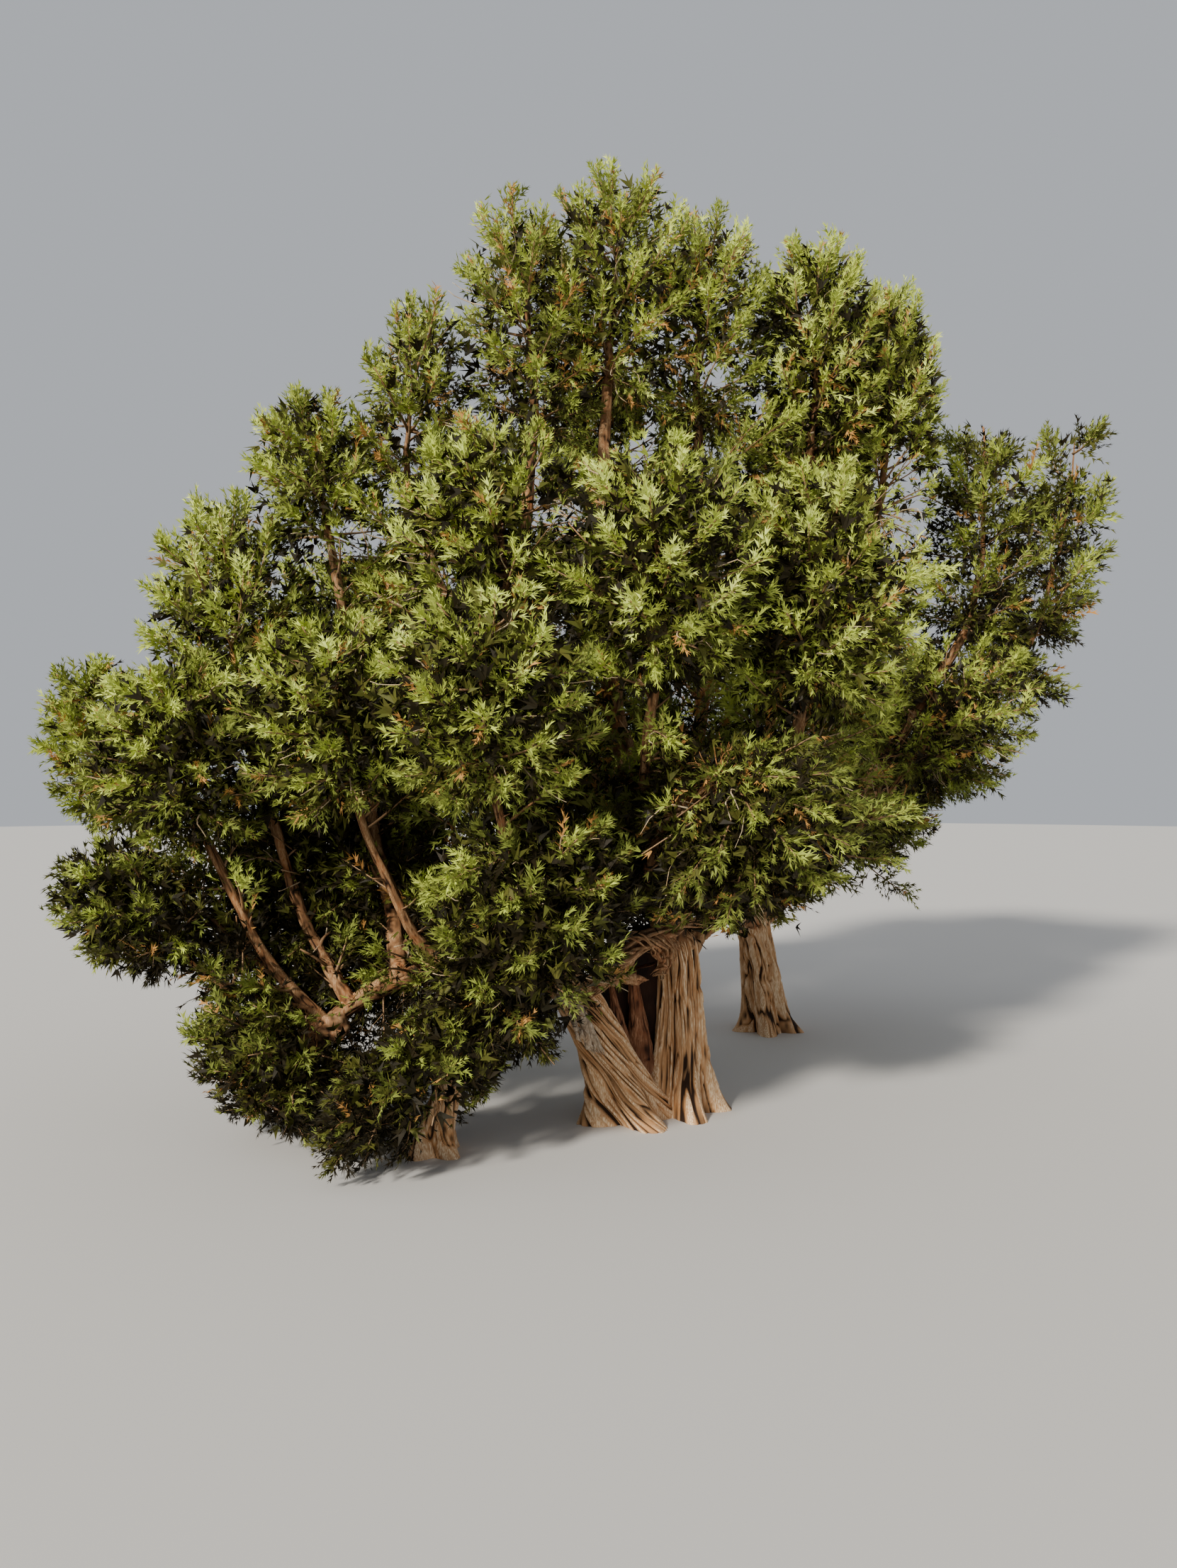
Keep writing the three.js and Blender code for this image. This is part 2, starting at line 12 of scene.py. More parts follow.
import bpy
import numpy as np
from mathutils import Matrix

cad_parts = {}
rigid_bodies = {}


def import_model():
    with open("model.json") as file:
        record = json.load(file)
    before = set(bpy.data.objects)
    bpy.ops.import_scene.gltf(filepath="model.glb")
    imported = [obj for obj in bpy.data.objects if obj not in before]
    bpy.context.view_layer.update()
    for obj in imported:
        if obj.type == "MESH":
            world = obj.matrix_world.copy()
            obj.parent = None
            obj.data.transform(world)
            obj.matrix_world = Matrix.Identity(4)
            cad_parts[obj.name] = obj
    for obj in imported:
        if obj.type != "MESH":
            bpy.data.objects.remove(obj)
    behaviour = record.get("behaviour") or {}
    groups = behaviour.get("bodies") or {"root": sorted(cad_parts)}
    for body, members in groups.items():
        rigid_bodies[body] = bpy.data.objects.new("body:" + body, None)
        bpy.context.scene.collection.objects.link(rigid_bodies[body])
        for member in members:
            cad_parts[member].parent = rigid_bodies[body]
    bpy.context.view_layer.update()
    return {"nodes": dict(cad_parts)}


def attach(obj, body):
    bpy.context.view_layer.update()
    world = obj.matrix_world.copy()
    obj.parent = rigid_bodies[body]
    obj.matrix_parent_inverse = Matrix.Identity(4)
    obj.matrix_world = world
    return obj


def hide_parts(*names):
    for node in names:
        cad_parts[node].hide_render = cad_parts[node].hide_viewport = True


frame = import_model()
print("solids:", len(frame["nodes"]))

# %% [markdown]
# ## Camera and light
#
# The photograph was taken from a few metres in front of the tree with a wide lens, level, a little above
# the height of a person. A wide lens from close by makes the near lobes large, so the distance matters as
# much as the angle. Light comes from one broad sun at the upper left and from a pale sky all round, which
# leaves the hollows between the lobes dark without making them black.

# %% Camera and light
CAMERA_PLACE = (-0.493, -9.0, 2.6)
LENS_MM = 26.0
FRAME_MM = 36.0
CLIP_END = 500.0
SUN_TURN = (np.radians(61), np.radians(-6), np.radians(-28))
SUN_STRENGTH = 5.2
SUN_ANGLE = np.radians(7)
SUN_COLOUR = (1.0, 0.95, 0.86)
SKY_COLOUR = (0.86, 0.9, 0.96, 1)
SKY_STRENGTH = 0.56


def link(thing):
    """Puts an object into the scene."""
    bpy.context.scene.collection.objects.link(thing)
    return thing


camera_data = bpy.data.cameras.new("camera")
camera_data.sensor_fit = "VERTICAL"
camera_data.sensor_height = FRAME_MM
camera_data.lens = LENS_MM
camera_data.clip_end = CLIP_END
camera = link(bpy.data.objects.new("camera", camera_data))
camera.location = CAMERA_PLACE
camera.rotation_euler = (np.pi / 2, 0, 0)
bpy.context.scene.camera = camera

sun_data = bpy.data.lights.new("sun", "SUN")
sun_data.energy = SUN_STRENGTH
sun_data.angle = SUN_ANGLE
sun_data.color = SUN_COLOUR
sun = link(bpy.data.objects.new("sun", sun_data))
sun.rotation_euler = SUN_TURN

sky = bpy.data.worlds.new("sky")
sky.use_nodes = True
sky.node_tree.nodes["Background"].inputs["Color"].default_value = SKY_COLOUR
sky.node_tree.nodes["Background"].inputs["Strength"].default_value = SKY_STRENGTH
bpy.context.scene.world = sky
print("camera at", CAMERA_PLACE, "lens in mm:", LENS_MM, "sun:", SUN_STRENGTH, "sky:", SKY_STRENGTH)

# %% [markdown]
# ## From arrays to a mesh
#
# Every piece is worked out as whole arrays of points and faces, and one helper turns them into a mesh.
# Faces have three or four corners, so they are given as arrays with three or four columns.

# %% A mesh from arrays


def make_piece(name, points, faces, materials, face_slots=None, smooth=False, relief=None):
    """A mesh object from an array of points and a list of face arrays."""
    corners = np.concatenate([part.ravel() for part in faces]).astype(np.int32)
    sizes = np.concatenate([np.full(len(part), part.shape[1]) for part in faces])
    starts = np.concatenate([[0], np.cumsum(sizes)[:-1]]).astype(np.int32)
    mesh = bpy.data.meshes.new(name)
    mesh.vertices.add(len(points))
    mesh.vertices.foreach_set("co", np.asarray(points, np.float32).ravel())
    mesh.loops.add(len(corners))
    mesh.loops.foreach_set("vertex_index", corners)
    mesh.polygons.add(len(sizes))
    mesh.polygons.foreach_set("loop_start", starts)
    for material in materials:
        mesh.materials.append(material)
    if face_slots is not None:
        mesh.polygons.foreach_set("material_index", np.asarray(face_slots, np.int32))
    mesh.polygons.foreach_set("use_smooth", np.full(len(sizes), smooth))
    if relief is not None:
        layer = mesh.attributes.new("relief", "FLOAT", "POINT")
        layer.data.foreach_set("value", np.asarray(relief, np.float32))
    mesh.update(calc_edges=True)
    return link(bpy.data.objects.new(name, mesh))


def finish_piece(piece, slot, *nodes):
    """The piece rides with the tree and stands for CAD nodes if any. Its slot is not used."""
    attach(piece, "root")
    if nodes:
        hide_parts(*nodes)
    print(f"{piece.name}: {len(piece.data.loops) - 2 * len(piece.data.polygons)} triangles")


def unit(vectors):
    """Vectors along the last axis, divided by their own length."""
    return vectors / np.maximum(np.linalg.norm(vectors, axis=-1, keepdims=True), 1e-9)


# %% [markdown]
# ## The floor
#
# The tree stands on a plain pale disc that reaches the horizon.

# %% Floor
FLOOR_RADIUS = 70.0
FLOOR_CORNERS = 96
FLOOR_COLOUR = (0.62, 0.6, 0.57, 1)
FLOOR_ROUGHNESS = 0.9

floor_angles = np.linspace(0, 2 * np.pi, FLOOR_CORNERS, endpoint=False)
floor_points = np.stack([np.cos(floor_angles), np.sin(floor_angles), 0 * floor_angles], 1) * FLOOR_RADIUS
floor_points = np.vstack([floor_points, [[0, 0, 0]]])
floor_corner = np.arange(FLOOR_CORNERS)
floor_middle = np.full(FLOOR_CORNERS, FLOOR_CORNERS)
floor_faces = np.stack([floor_corner, (floor_corner + 1) % FLOOR_CORNERS, floor_middle], 1)
floor_material = bpy.data.materials.new("pale_floor")
floor_material.use_nodes = True
floor_shader = floor_material.node_tree.nodes["Principled BSDF"]
floor_shader.inputs["Base Color"].default_value = FLOOR_COLOUR
floor_shader.inputs["Roughness"].default_value = FLOOR_ROUGHNESS
make_piece("floor", floor_points, [floor_faces], [floor_material])
print("floor radius:", FLOOR_RADIUS)

# %% [markdown]
# ## Shared shader groups
#
# Bark, boughs and dead wood differ in colour but wear in the same way: ridges bleach, patches of older,
# redder wood show between them, and furrows are painted dark as shade. The meshes carry that relief as an
# attribute named relief, 0 in a furrow and 1 on a ridge, so the colour follows the shape exactly. One node
# group turns it into a colour, a roughness and a fine height, and each material gives the group its own
# colours.

# %% Shader helpers
# The Mix node has sockets for every kind of value. These are the places of its colours.
MIX_FIRST = 6
MIX_SECOND = 7
MIX_RESULT = 2
# Most values of a Noise Texture lie between these two.
NOISE_SPAN = (0.3, 0.7)


def new_group(name, inputs, outputs):
    """An empty shader node group with named sockets, and its input and output nodes."""
    group = bpy.data.node_groups.new(name, "ShaderNodeTree")
    for socket_name, kind in inputs:
        group.interface.new_socket(socket_name, in_out="INPUT", socket_type=kind)
    for socket_name, kind in outputs:
        group.interface.new_socket(socket_name, in_out="OUTPUT", socket_type=kind)
    return group, group.nodes.new("NodeGroupInput"), group.nodes.new("NodeGroupOutput")


def mix_colours(tree, share, first, second):
    """A Mix node in colour mode. Each argument is a socket."""
    node = tree.nodes.new("ShaderNodeMix")
    node.data_type = "RGBA"
    tree.links.new(share, node.inputs["Factor"])
    tree.links.new(first, node.inputs[MIX_FIRST])
    tree.links.new(second, node.inputs[MIX_SECOND])
    return node.outputs[MIX_RESULT]


def remap(tree, value, low, high, to_low=0.0, to_high=1.0):
    """A Map Range node that clamps: low to high becomes to_low to to_high."""
    node = tree.nodes.new("ShaderNodeMapRange")
    tree.links.new(value, node.inputs["Value"])
    limits = {"From Min": low, "From Max": high, "To Min": to_low, "To Max": to_high}
    for socket_name, limit in limits.items():
        node.inputs[socket_name].default_value = limit
    return node.outputs["Result"]


def noise(tree, place, scale, detail=3.0):
    """A Noise Texture's value at a place."""
    node = tree.nodes.new("ShaderNodeTexNoise")
    tree.links.new(place, node.inputs["Vector"])
    node.inputs["Scale"].default_value = scale
    node.inputs["Detail"].default_value = detail
    return node.outputs["Fac"]


# %% Weathered wood
FIBRE_SQUEEZE = (1, 1, 0.12)
FIBRE_SCALE = 150
FIBRE_EDGE = (0.38, 0.66)
PATCH_SCALE = 5.5
PATCH_EDGE = (0.52, 0.66)
FURROW_SHADE_EDGE = (0.05, 0.5)
RIDGE_EDGE = (0.5, 1.0)
WOOD_ROUGHNESS = (0.95, 0.78)

weathered_wood, given, result = new_group(
    "weathered wood",
    [("Place", "NodeSocketVector"), ("Relief", "NodeSocketFloat"), ("Furrow shade", "NodeSocketColor"),
     ("Wood", "NodeSocketColor"), ("Ridge", "NodeSocketColor"), ("Old patch", "NodeSocketColor")],
    [("Color", "NodeSocketColor"), ("Roughness", "NodeSocketFloat"), ("Height", "NodeSocketFloat")],
)
fibres = weathered_wood.nodes.new("ShaderNodeMapping")
fibres.inputs["Scale"].default_value = FIBRE_SQUEEZE
weathered_wood.links.new(given.outputs["Place"], fibres.inputs["Vector"])
fine_fibres = noise(weathered_wood, fibres.outputs["Vector"], FIBRE_SCALE, 4)
broad_patches = noise(weathered_wood, given.outputs["Place"], PATCH_SCALE, 4)
patched = remap(weathered_wood, broad_patches, *PATCH_EDGE)
body_colour = mix_colours(weathered_wood, patched, given.outputs["Wood"], given.outputs["Old patch"])
# Painted shade: where the relief is low, the colour runs to the dark furrow colour.
raised = remap(weathered_wood, given.outputs["Relief"], *FURROW_SHADE_EDGE)
furrow_shaded_colour = mix_colours(weathered_wood, raised, given.outputs["Furrow shade"], body_colour)
bleach = weathered_wood.nodes.new("ShaderNodeMath")
bleach.operation = "MULTIPLY"
weathered_wood.links.new(remap(weathered_wood, given.outputs["Relief"], *RIDGE_EDGE), bleach.inputs[0])
weathered_wood.links.new(remap(weathered_wood, fine_fibres, *FIBRE_EDGE), bleach.inputs[1])
worn_colour = mix_colours(weathered_wood, bleach.outputs[0], furrow_shaded_colour, given.outputs["Ridge"])
weathered_wood.links.new(worn_colour, result.inputs["Color"])
wood_roughness = remap(weathered_wood, fine_fibres, *NOISE_SPAN, *WOOD_ROUGHNESS)
weathered_wood.links.new(wood_roughness, result.inputs["Roughness"])
weathered_wood.links.new(fine_fibres, result.inputs["Height"])
print("nodes in", weathered_wood.name, len(weathered_wood.nodes))

# %% Wood finishes
WOOD_SHINE = 0.25
BUMP_STRENGTH = 0.6
# Each wood: the colours of furrows (painted shade), body, ridges and old patches, and the height of the
# bump.
WOODS = {
    # Partly painted light: the trunk's bark is made much lighter than the boughs', beyond its own paler
    # colour, to make up for the crown's shadow on the trunks.
    "trunk_bark": (
        (0.025, 0.011, 0.005), (0.54, 0.29, 0.13), (0.93, 0.75, 0.5), (0.5, 0.24, 0.09), 0.004),
    "bough_bark": (
        (0.025, 0.011, 0.005), (0.24, 0.115, 0.048), (0.52, 0.33, 0.17), (0.33, 0.13, 0.045), 0.003),
    "dead_wood": (
        (0.03, 0.013, 0.006), (0.28, 0.15, 0.07), (0.66, 0.46, 0.27), (0.36, 0.16, 0.07), 0.003),
    # Partly painted shade: the boards' red wood is darkened beyond its own reddish colour for the shade of
    # the hollow they stand in.
    "red_wood": (
        (0.012, 0.005, 0.003), (0.17, 0.066, 0.03), (0.42, 0.21, 0.11), (0.22, 0.075, 0.03), 0.003),
    "grey_wood": (
        (0.05, 0.035, 0.025), (0.34, 0.26, 0.18), (0.68, 0.58, 0.46), (0.3, 0.2, 0.12), 0.003),
    "twig_bark": (
        (0.14, 0.075, 0.035), (0.34, 0.2, 0.1), (0.56, 0.4, 0.24), (0.4, 0.2, 0.08), 0.001),
    "bare_twig_bark": (
        (0.4, 0.28, 0.16), (0.6, 0.46, 0.28), (0.78, 0.66, 0.46), (0.62, 0.4, 0.2), 0.001),
    "dry_twig_bark": (
        (0.25, 0.1, 0.03), (0.5, 0.24, 0.08), (0.7, 0.42, 0.18), (0.45, 0.18, 0.06), 0.001),
}


def wood_material(name, furrow, wood, ridge, old_patch, bump_metres):
    """A bark or dead-wood finish: the weathered wood group with this wood's own four colours."""
    material = bpy.data.materials.new(name)
    material.use_nodes = True
    tree = material.node_tree
    shader = tree.nodes["Principled BSDF"]
    shader.inputs["Specular IOR Level"].default_value = WOOD_SHINE
    place = tree.nodes.new("ShaderNodeTexCoord")
    group = tree.nodes.new("ShaderNodeGroup")
    group.node_tree = weathered_wood
    tree.links.new(place.outputs["Object"], group.inputs["Place"])
    relief = tree.nodes.new("ShaderNodeAttribute")
    relief.attribute_name = "relief"
    tree.links.new(relief.outputs["Fac"], group.inputs["Relief"])
    colours = {"Furrow shade": furrow, "Wood": wood, "Ridge": ridge, "Old patch": old_patch}
    for socket_name, colour in colours.items():
        group.inputs[socket_name].default_value = (*colour, 1)
    bump = tree.nodes.new("ShaderNodeBump")
    bump.inputs["Strength"].default_value = BUMP_STRENGTH
    bump.inputs["Distance"].default_value = bump_metres
    tree.links.new(group.outputs["Height"], bump.inputs["Height"])
    tree.links.new(group.outputs["Color"], shader.inputs["Base Color"])
    tree.links.new(group.outputs["Roughness"], shader.inputs["Roughness"])
    tree.links.new(bump.outputs["Normal"], shader.inputs["Normal"])
    return material


woods = {name: wood_material(name, *looks) for name, looks in WOODS.items()}
print("wood finishes:", list(woods))

# %% [markdown]
# ## Greens
#
# A juniper's leaves are tiny scales pressed to the twig, so from a few steps away a twig reads as one
# matt, slightly waxy strand. Young strands are yellow-green and stand outside, older ones are deeper, and
# what dies turns brown. The greens also carry painted light and shade: lighter ones stand for sprays in
# the sun, and the nearly black one is painted shade for the heart of the crown. Each green is a material of
# its own, and a whole spray takes one of them. A little slow noise keeps neighbours from being exactly
# alike.

# %% Greens
LEAF_NOISE_SCALE = 9.0
LEAF_EDGE = (0.35, 0.65)
LEAF_ROUGHNESS = (0.62, 0.5)
LEAF_SHINE = 0.15

leaf_tint, given, result = new_group(
    "leaf tint",
    [("Place", "NodeSocketVector"), ("Green", "NodeSocketColor"), ("Other green", "NodeSocketColor")],
    [("Color", "NodeSocketColor"), ("Roughness", "NodeSocketFloat")],
)
leaf_noise = noise(leaf_tint, given.outputs["Place"], LEAF_NOISE_SCALE, 2)
tinted = remap(leaf_tint, leaf_noise, *LEAF_EDGE)
leaf_colour = mix_colours(leaf_tint, tinted, given.outputs["Green"], given.outputs["Other green"])
leaf_tint.links.new(leaf_colour, result.inputs["Color"])
leaf_roughness = remap(leaf_tint, leaf_noise, *NOISE_SPAN, *LEAF_ROUGHNESS)
leaf_tint.links.new(leaf_roughness, result.inputs["Roughness"])

# Two close greens for each leaf finish, from the darkest, which is painted shade, to the freshest and
# sunlit, and the dry brown.
GREENS = {
    "leaf_shade": ((0.013, 0.011, 0.004), (0.020, 0.014, 0.005)),
    "leaf_deep_shade": ((0.074, 0.082, 0.013), (0.092, 0.088, 0.016)),
    "leaf_mid": ((0.175, 0.214, 0.036), (0.200, 0.228, 0.041)),
    "leaf_olive": ((0.315, 0.382, 0.060), (0.350, 0.402, 0.068)),
    "leaf_bright_sunlit": ((0.480, 0.575, 0.085), (0.530, 0.610, 0.100)),
    "leaf_fresh_sunlit": ((0.630, 0.735, 0.160), (0.680, 0.765, 0.190)),
    "leaf_dry": ((0.480, 0.230, 0.060), (0.560, 0.300, 0.085)),
}


def leaf_material(name, green, other_green):
    """A leaf finish with the leaf tint group's two close greens."""
    material = bpy.data.materials.new(name)
    material.use_nodes = True
    tree = material.node_tree
    shader = tree.nodes["Principled BSDF"]
    shader.inputs["Specular IOR Level"].default_value = LEAF_SHINE
    place = tree.nodes.new("ShaderNodeTexCoord")
    group = tree.nodes.new("ShaderNodeGroup")
    group.node_tree = leaf_tint
    tree.links.new(place.outputs["Object"], group.inputs["Place"])
    group.inputs["Green"].default_value = (*green, 1)
    group.inputs["Other green"].default_value = (*other_green, 1)
    tree.links.new(group.outputs["Color"], shader.inputs["Base Color"])
    tree.links.new(group.outputs["Roughness"], shader.inputs["Roughness"])
    return material


leaf_materials = [leaf_material(name, *pair) for name, pair in GREENS.items()]
print("leaf finishes:", list(GREENS))

# %% [markdown]
# ## The limbs
#
# The solids were grown from a table of limbs, and the same table serves here: where a limb starts, where
# it bends, where it ends, how thick it is and how far its foliage reaches. A limb's middle line is a
# parabola through its bend, so it lies in one plane, and the plane's normal gives every ring of the limb
# the same first axis.

# %% The table of limbs
TRUNKS = {
    "main_left": dict(foot=(-0.15, -0.17, 0), bend=(-0.4, -0.35, 0.64), top=(-0.7, -0.45, 1.19),
                      girth=(0.215, 0.165), flare=0.13, buttresses=4, turn=0.4),
    "main_right": dict(foot=(0.205, 0.06, 0), bend=(0.235, 0.06, 0.72), top=(0.205, 0.05, 1.42),
                       girth=(0.215, 0.15), flare=0.13, buttresses=5, turn=1.3),
    "right": dict(foot=(1.4, 3.0, 0), bend=(1.335, 3.0, 0.62), top=(1.25, 3.0, 1.24),
                  girth=(0.2, 0.165), flare=0.1, buttresses=5, turn=2.1),
    "left": dict(foot=(-1.59, -1.0, 0), bend=(-1.45, -1.05, 0.52), top=(-1.08, -1.3, 1.13),
                 girth=(0.125, 0.072), flare=0.06, buttresses=4, turn=0.9),
}

# Each bough: the limb that it leaves, the share of that limb's length, bend, tip, half thickness at root
# and tip, the furthest tip of its foliage, and the half width and half depth of that mass.
Bough = namedtuple("Bough", "parent share bend tip girth far half")
BOUGHS = {
    "arch": ("right", 0.9, (0.69, 1.45, 1.33), (0.25, 0.11, 1.17), (0.074, 0.054), None, None),
    "top_centre": ("main_right", 0.9, (-0.3, -0.16, 3.3), (-0.33, 0.6, 6.0), (0.128, 0.045),
                   (-0.19, 0.9, 7.98), (0.85, 0.96)),
    "top_left": ("main_left", 0.92, (-1.01, -0.4, 2.76), (-0.93, 0.3, 5.54), (0.112, 0.042),
                 (-1.12, 0.35, 7.52), (0.67, 0.88)),
    "top_right": ("main_right", 0.96, (0.42, 0.6, 3.2), (0.46, 0.9, 5.86), (0.092, 0.04),
                  (0.62, 1.15, 7.76), (0.66, 0.9)),
    "right_shoulder": ("main_right", 0.84, (1.13, 1.0, 2.5), (2.2, 1.6, 5.09), (0.1, 0.042),
                       (2.28, 1.7, 7.5), (0.65, 0.92)),
    "right_crest": ("right_shoulder", 0.3, (1.13, 1.25, 3.3), (1.5, 1.2, 5.51), (0.062, 0.036),
                    (1.58, 1.35, 7.7), (0.74, 0.9)),
    "left_shoulder": ("top_left", 0.42, (-1.5, 0, 3.76), (-1.96, 0.2, 4.94), (0.06, 0.034),
                      (-1.7, 0.35, 6.7), (0.57, 0.92)),
    "centre_high": ("top_left", 0.14, (-1.09, -0.95, 2.4), (-1.09, -0.95, 3.75), (0.062, 0.036),
                    (-1.22, -0.8, 5.3), (0.86, 0.95)),
    "front_left": ("centre_high", 0.2, (-1.0, -1.49, 2.05), (-1.13, -1.75, 2.7), (0.042, 0.028),
                   (-1.13, -1.8, 3.98), (0.8, 0.76)),
    "front_centre": ("top_centre", 0.28, (-0.06, -0.95, 2.78), (-0.04, -1.4, 3.56), (0.054, 0.032),
                     (0, -1.35, 5.0), (0.86, 0.82)),
    "front_right_low": ("top_centre", 0.14, (-0.02, -0.64, 2.18), (0.43, -1.05, 2.64), (0.068, 0.04),
                        (0.75, -0.85, 1.56), (1.02, 0.95)),
    "front_right": ("right_shoulder", 0.14, (0.9, -0.42, 2.33), (1.08, -0.85, 3.38), (0.058, 0.034),
                    (1.19, -0.82, 5.02), (0.9, 0.85)),
    "reclining": ("main_left", 0.8, (-1.56, -0.43, 1.23), (-2.57, -0.64, 0.69), (0.108, 0.062),
                  (-2.95, -1.0, 0.13), (0.95, 0.9)),
    "mid_left": ("reclining", 0.5, (-1.93, -0.76, 1.81), (-2.15, -1.05, 2.62), (0.048, 0.03),
                 (-2.3, -1.25, 3.84), (0.82, 0.85)),
    "inner_left": ("reclining", 0.28, (-1.5, -0.02, 1.55), (-2.0, 0.1, 1.75), (0.036, 0.024),
                   (-3.68, 0.15, 1.5), (1.3, 0.9)),
    "left_high": ("reclining", 0.68, (-2.2, -0.08, 2.5), (-2.57, 0.1, 4.56), (0.066, 0.034),
                  (-2.78, 0.2, 5.83), (0.65, 0.88)),
    "left_mid": ("reclining", 0.84, (-2.66, -0.42, 1.65), (-3.14, -0.3, 3.08), (0.058, 0.032),
                 (-3.38, -0.05, 4.97), (0.74, 0.93)),
    "left_low": ("reclining", 0.93, (-2.9, -0.64, 1.42), (-3.35, -0.85, 2.42), (0.052, 0.03),
                 (-3.33, -1.25, 3.56), (0.8, 0.76)),
    "far_left": ("left_low", 0.3, (-3.48, -0.48, 1.7), (-4.08, -0.3, 2.48), (0.032, 0.022),
                 (-4.39, -0.3, 3.64), (0.51, 0.76)),
    "low_left": ("left_low", 0.12, (-3.12, -0.9, 1.17), (-3.44, -0.9, 1.5), (0.03, 0.022),
                 (-4.3, -0.85, 2.08), (0.52, 0.7)),
    "back_left": ("main_left", 0.7, (-1.5, 0.7, 1.6), (-2.3, 1.3, 2.4), (0.082, 0.04),
                  (-2.65, 1.9, 5.2), (1.3, 1.25)),
    "far_right_inner": ("right", 0.94, (2.33, 2.88, 2.44), (3.33, 2.45, 4.16), (0.112, 0.042),
                        (3.54, 2.5, 6.58), (0.8, 1.1)),
    "far_right_outer": ("far_right_inner", 0.5, (3.26, 2.92, 3.01), (4.08, 2.7, 4.08), (0.056, 0.032),
                        (4.6, 2.7, 6.54), (0.65, 1.0)),
    "right_low": ("far_right_inner", 0.22, (2.19, 2.35, 2.13), (2.67, 1.95, 2.86), (0.056, 0.034),
                  (3.56, 1.9, 4.06), (0.85, 0.95)),
    "back_right_high": ("right", 0.97, (1.48, 3.3, 2.85), (1.75, 3.5, 4.4), (0.1, 0.042),
                        (1.8, 3.3, 7.0), (1.15, 1.2)),
    "back_centre_high": ("right", 0.9, (0.7, 3.05, 2.6), (-0.05, 2.9, 4.3), (0.088, 0.04),
                         (-0.35, 2.6, 7.1), (1.25, 1.3)),
    "back_low": ("right", 0.8, (0.5, 3.4, 1.56), (-0.25, 3.6, 2.25), (0.062, 0.036),
                 (-0.9, 3.9, 3.9), (1.25, 1.0)),
    "back_right_low": ("right", 0.86, (1.98, 3.7, 1.55), (2.48, 4.15, 2.15), (0.062, 0.036),
                       (3.0, 4.3, 4.15), (1.2, 1.0)),
}
BOUGHS = {name: Bough(*values) for name, values in BOUGHS.items()}

# Masses on the left trunk itself: the share of its length, furthest tip, half width and half depth.
TRUNK_MASSES = {
    "front_low": (1.0, (-0.55, -1.6, 2.6), (0.78, 0.78)),
    "left_skirt": (0.85, (-2.35, -1.7, 0.1), (0.45, 0.7)),
}
print("trunks:", len(TRUNKS), "boughs:", len(BOUGHS))

# %% Middle lines


def middle_line(start, bend, tip):
    """The parabola (1-t)(1-t) start + 2t(1-t) pull + tt tip, with pull = 2 bend - (start + tip) / 2."""
    start, bend, tip = (np.asarray(place, float) for place in (start, bend, tip))
    normal = unit(np.cross(bend - start, tip - bend))
    return {"start": start, "pull": 2 * bend - (start + tip) / 2, "tip": tip, "normal": normal}


def curve_points(start, pull, tip, t):
    """Points at shares t of one curve or of many. t has one axis more than the curves have."""
    t = np.asarray(t, float)[..., None]
    return (1 - t) ** 2 * start + 2 * t * (1 - t) * pull + t ** 2 * tip


def curve_headings(start, pull, tip, t):
    """Unit headings at shares t: (1-t)(pull - start) + t(tip - pull), divided by its length."""
    t = np.asarray(t, float)[..., None]
    return unit((1 - t) * (pull - start) + t * (tip - pull))


def along_line(line, t):
    """Points at shares t of a limb's middle line."""
    return curve_points(line["start"], line["pull"], line["tip"], t)


def line_headings(line, t):
    """Headings at shares t of a limb's middle line."""
    return curve_headings(line["start"], line["pull"], line["tip"], t)


def girth_of(name):
    """A limb's half thickness at its root and at its tip."""
    return TRUNKS[name]["girth"] if name in TRUNKS else BOUGHS[name].girth


def taper(girth, t):
    """Half thickness at share t of a limb: root + (tip - root) t."""
    return girth[0] + (girth[1] - girth[0]) * t


lines = {name: middle_line(trunk["foot"], trunk["bend"], trunk["top"]) for name, trunk in TRUNKS.items()}
for name, bough in BOUGHS.items():
    lines[name] = middle_line(along_line(lines[bough.parent], bough.share), bough.bend, bough.tip)
print("limbs:", len(lines))

# %% [markdown]
# ## Bark in relief
#
# Juniper bark splits into long strips that wind round the stem, with dark furrows between them. Smooth
# random values on a grid that closes round the stem and is stretched along it make long wavy shapes, and
# the lines where they pass one half are long, branching and never cross, just as furrows are. So a furrow
# is cut wherever the noise is near one half, at two scales, and finer noise roughens the strips.

# %% Noise round a limb


def smooth_step(share):
    """An even share from 0 to 1 eased at both ends: share^2 (3 - 2 share)."""
    return share ** 2 * (3 - 2 * share)


def bell(values, middle, width):
    """1 at the middle and less on both sides: exp(-((value - middle) / width)^2)."""
    return np.exp(-((values - middle) / width) ** 2)


def noise_round(around, along, cells_round, cells_along, seed):
    """Random values on a grid that closes round the limb, blended smoothly between its corners."""
    values = np.random.default_rng(seed).random((cells_along + 2, cells_round))
    x = (around % 1) * cells_round
    y = np.clip(along, 0, 1) * cells_along
    column = np.floor(x).astype(int) % cells_round
    row = np.floor(y).astype(int)
    blend_x = smooth_step(x % 1)
    blend_y = smooth_step(y % 1)
    right = (column + 1) % cells_round
    low = values[row, column] * (1 - blend_x) + values[row, right] * blend_x
    high = values[row + 1, column] * (1 - blend_x) + values[row + 1, right] * blend_x
    return low * (1 - blend_y) + high * blend_y


# %% Relief of bark
WAVER = 0.03
SLOW_SHARE = 0.8
STRIP_SHARE = 0.2
DEEP_FURROW = {"middle": 0.5, "width": 0.05}
DEEP_FURROW_DEPTH = 0.75
FINE_FURROW = {"middle": 0.46, "width": 0.055}
FINE_FURROW_DEPTH = 0.5
RIDGE_FOOT = 0.26
RIDGE_SLOPE = 0.36
RIDGE_HEIGHT = 0.45
PLAIN_LEVEL = 0.38
GRAIN_HEIGHT = 0.9
GRAIN_MIDDLE = 0.36


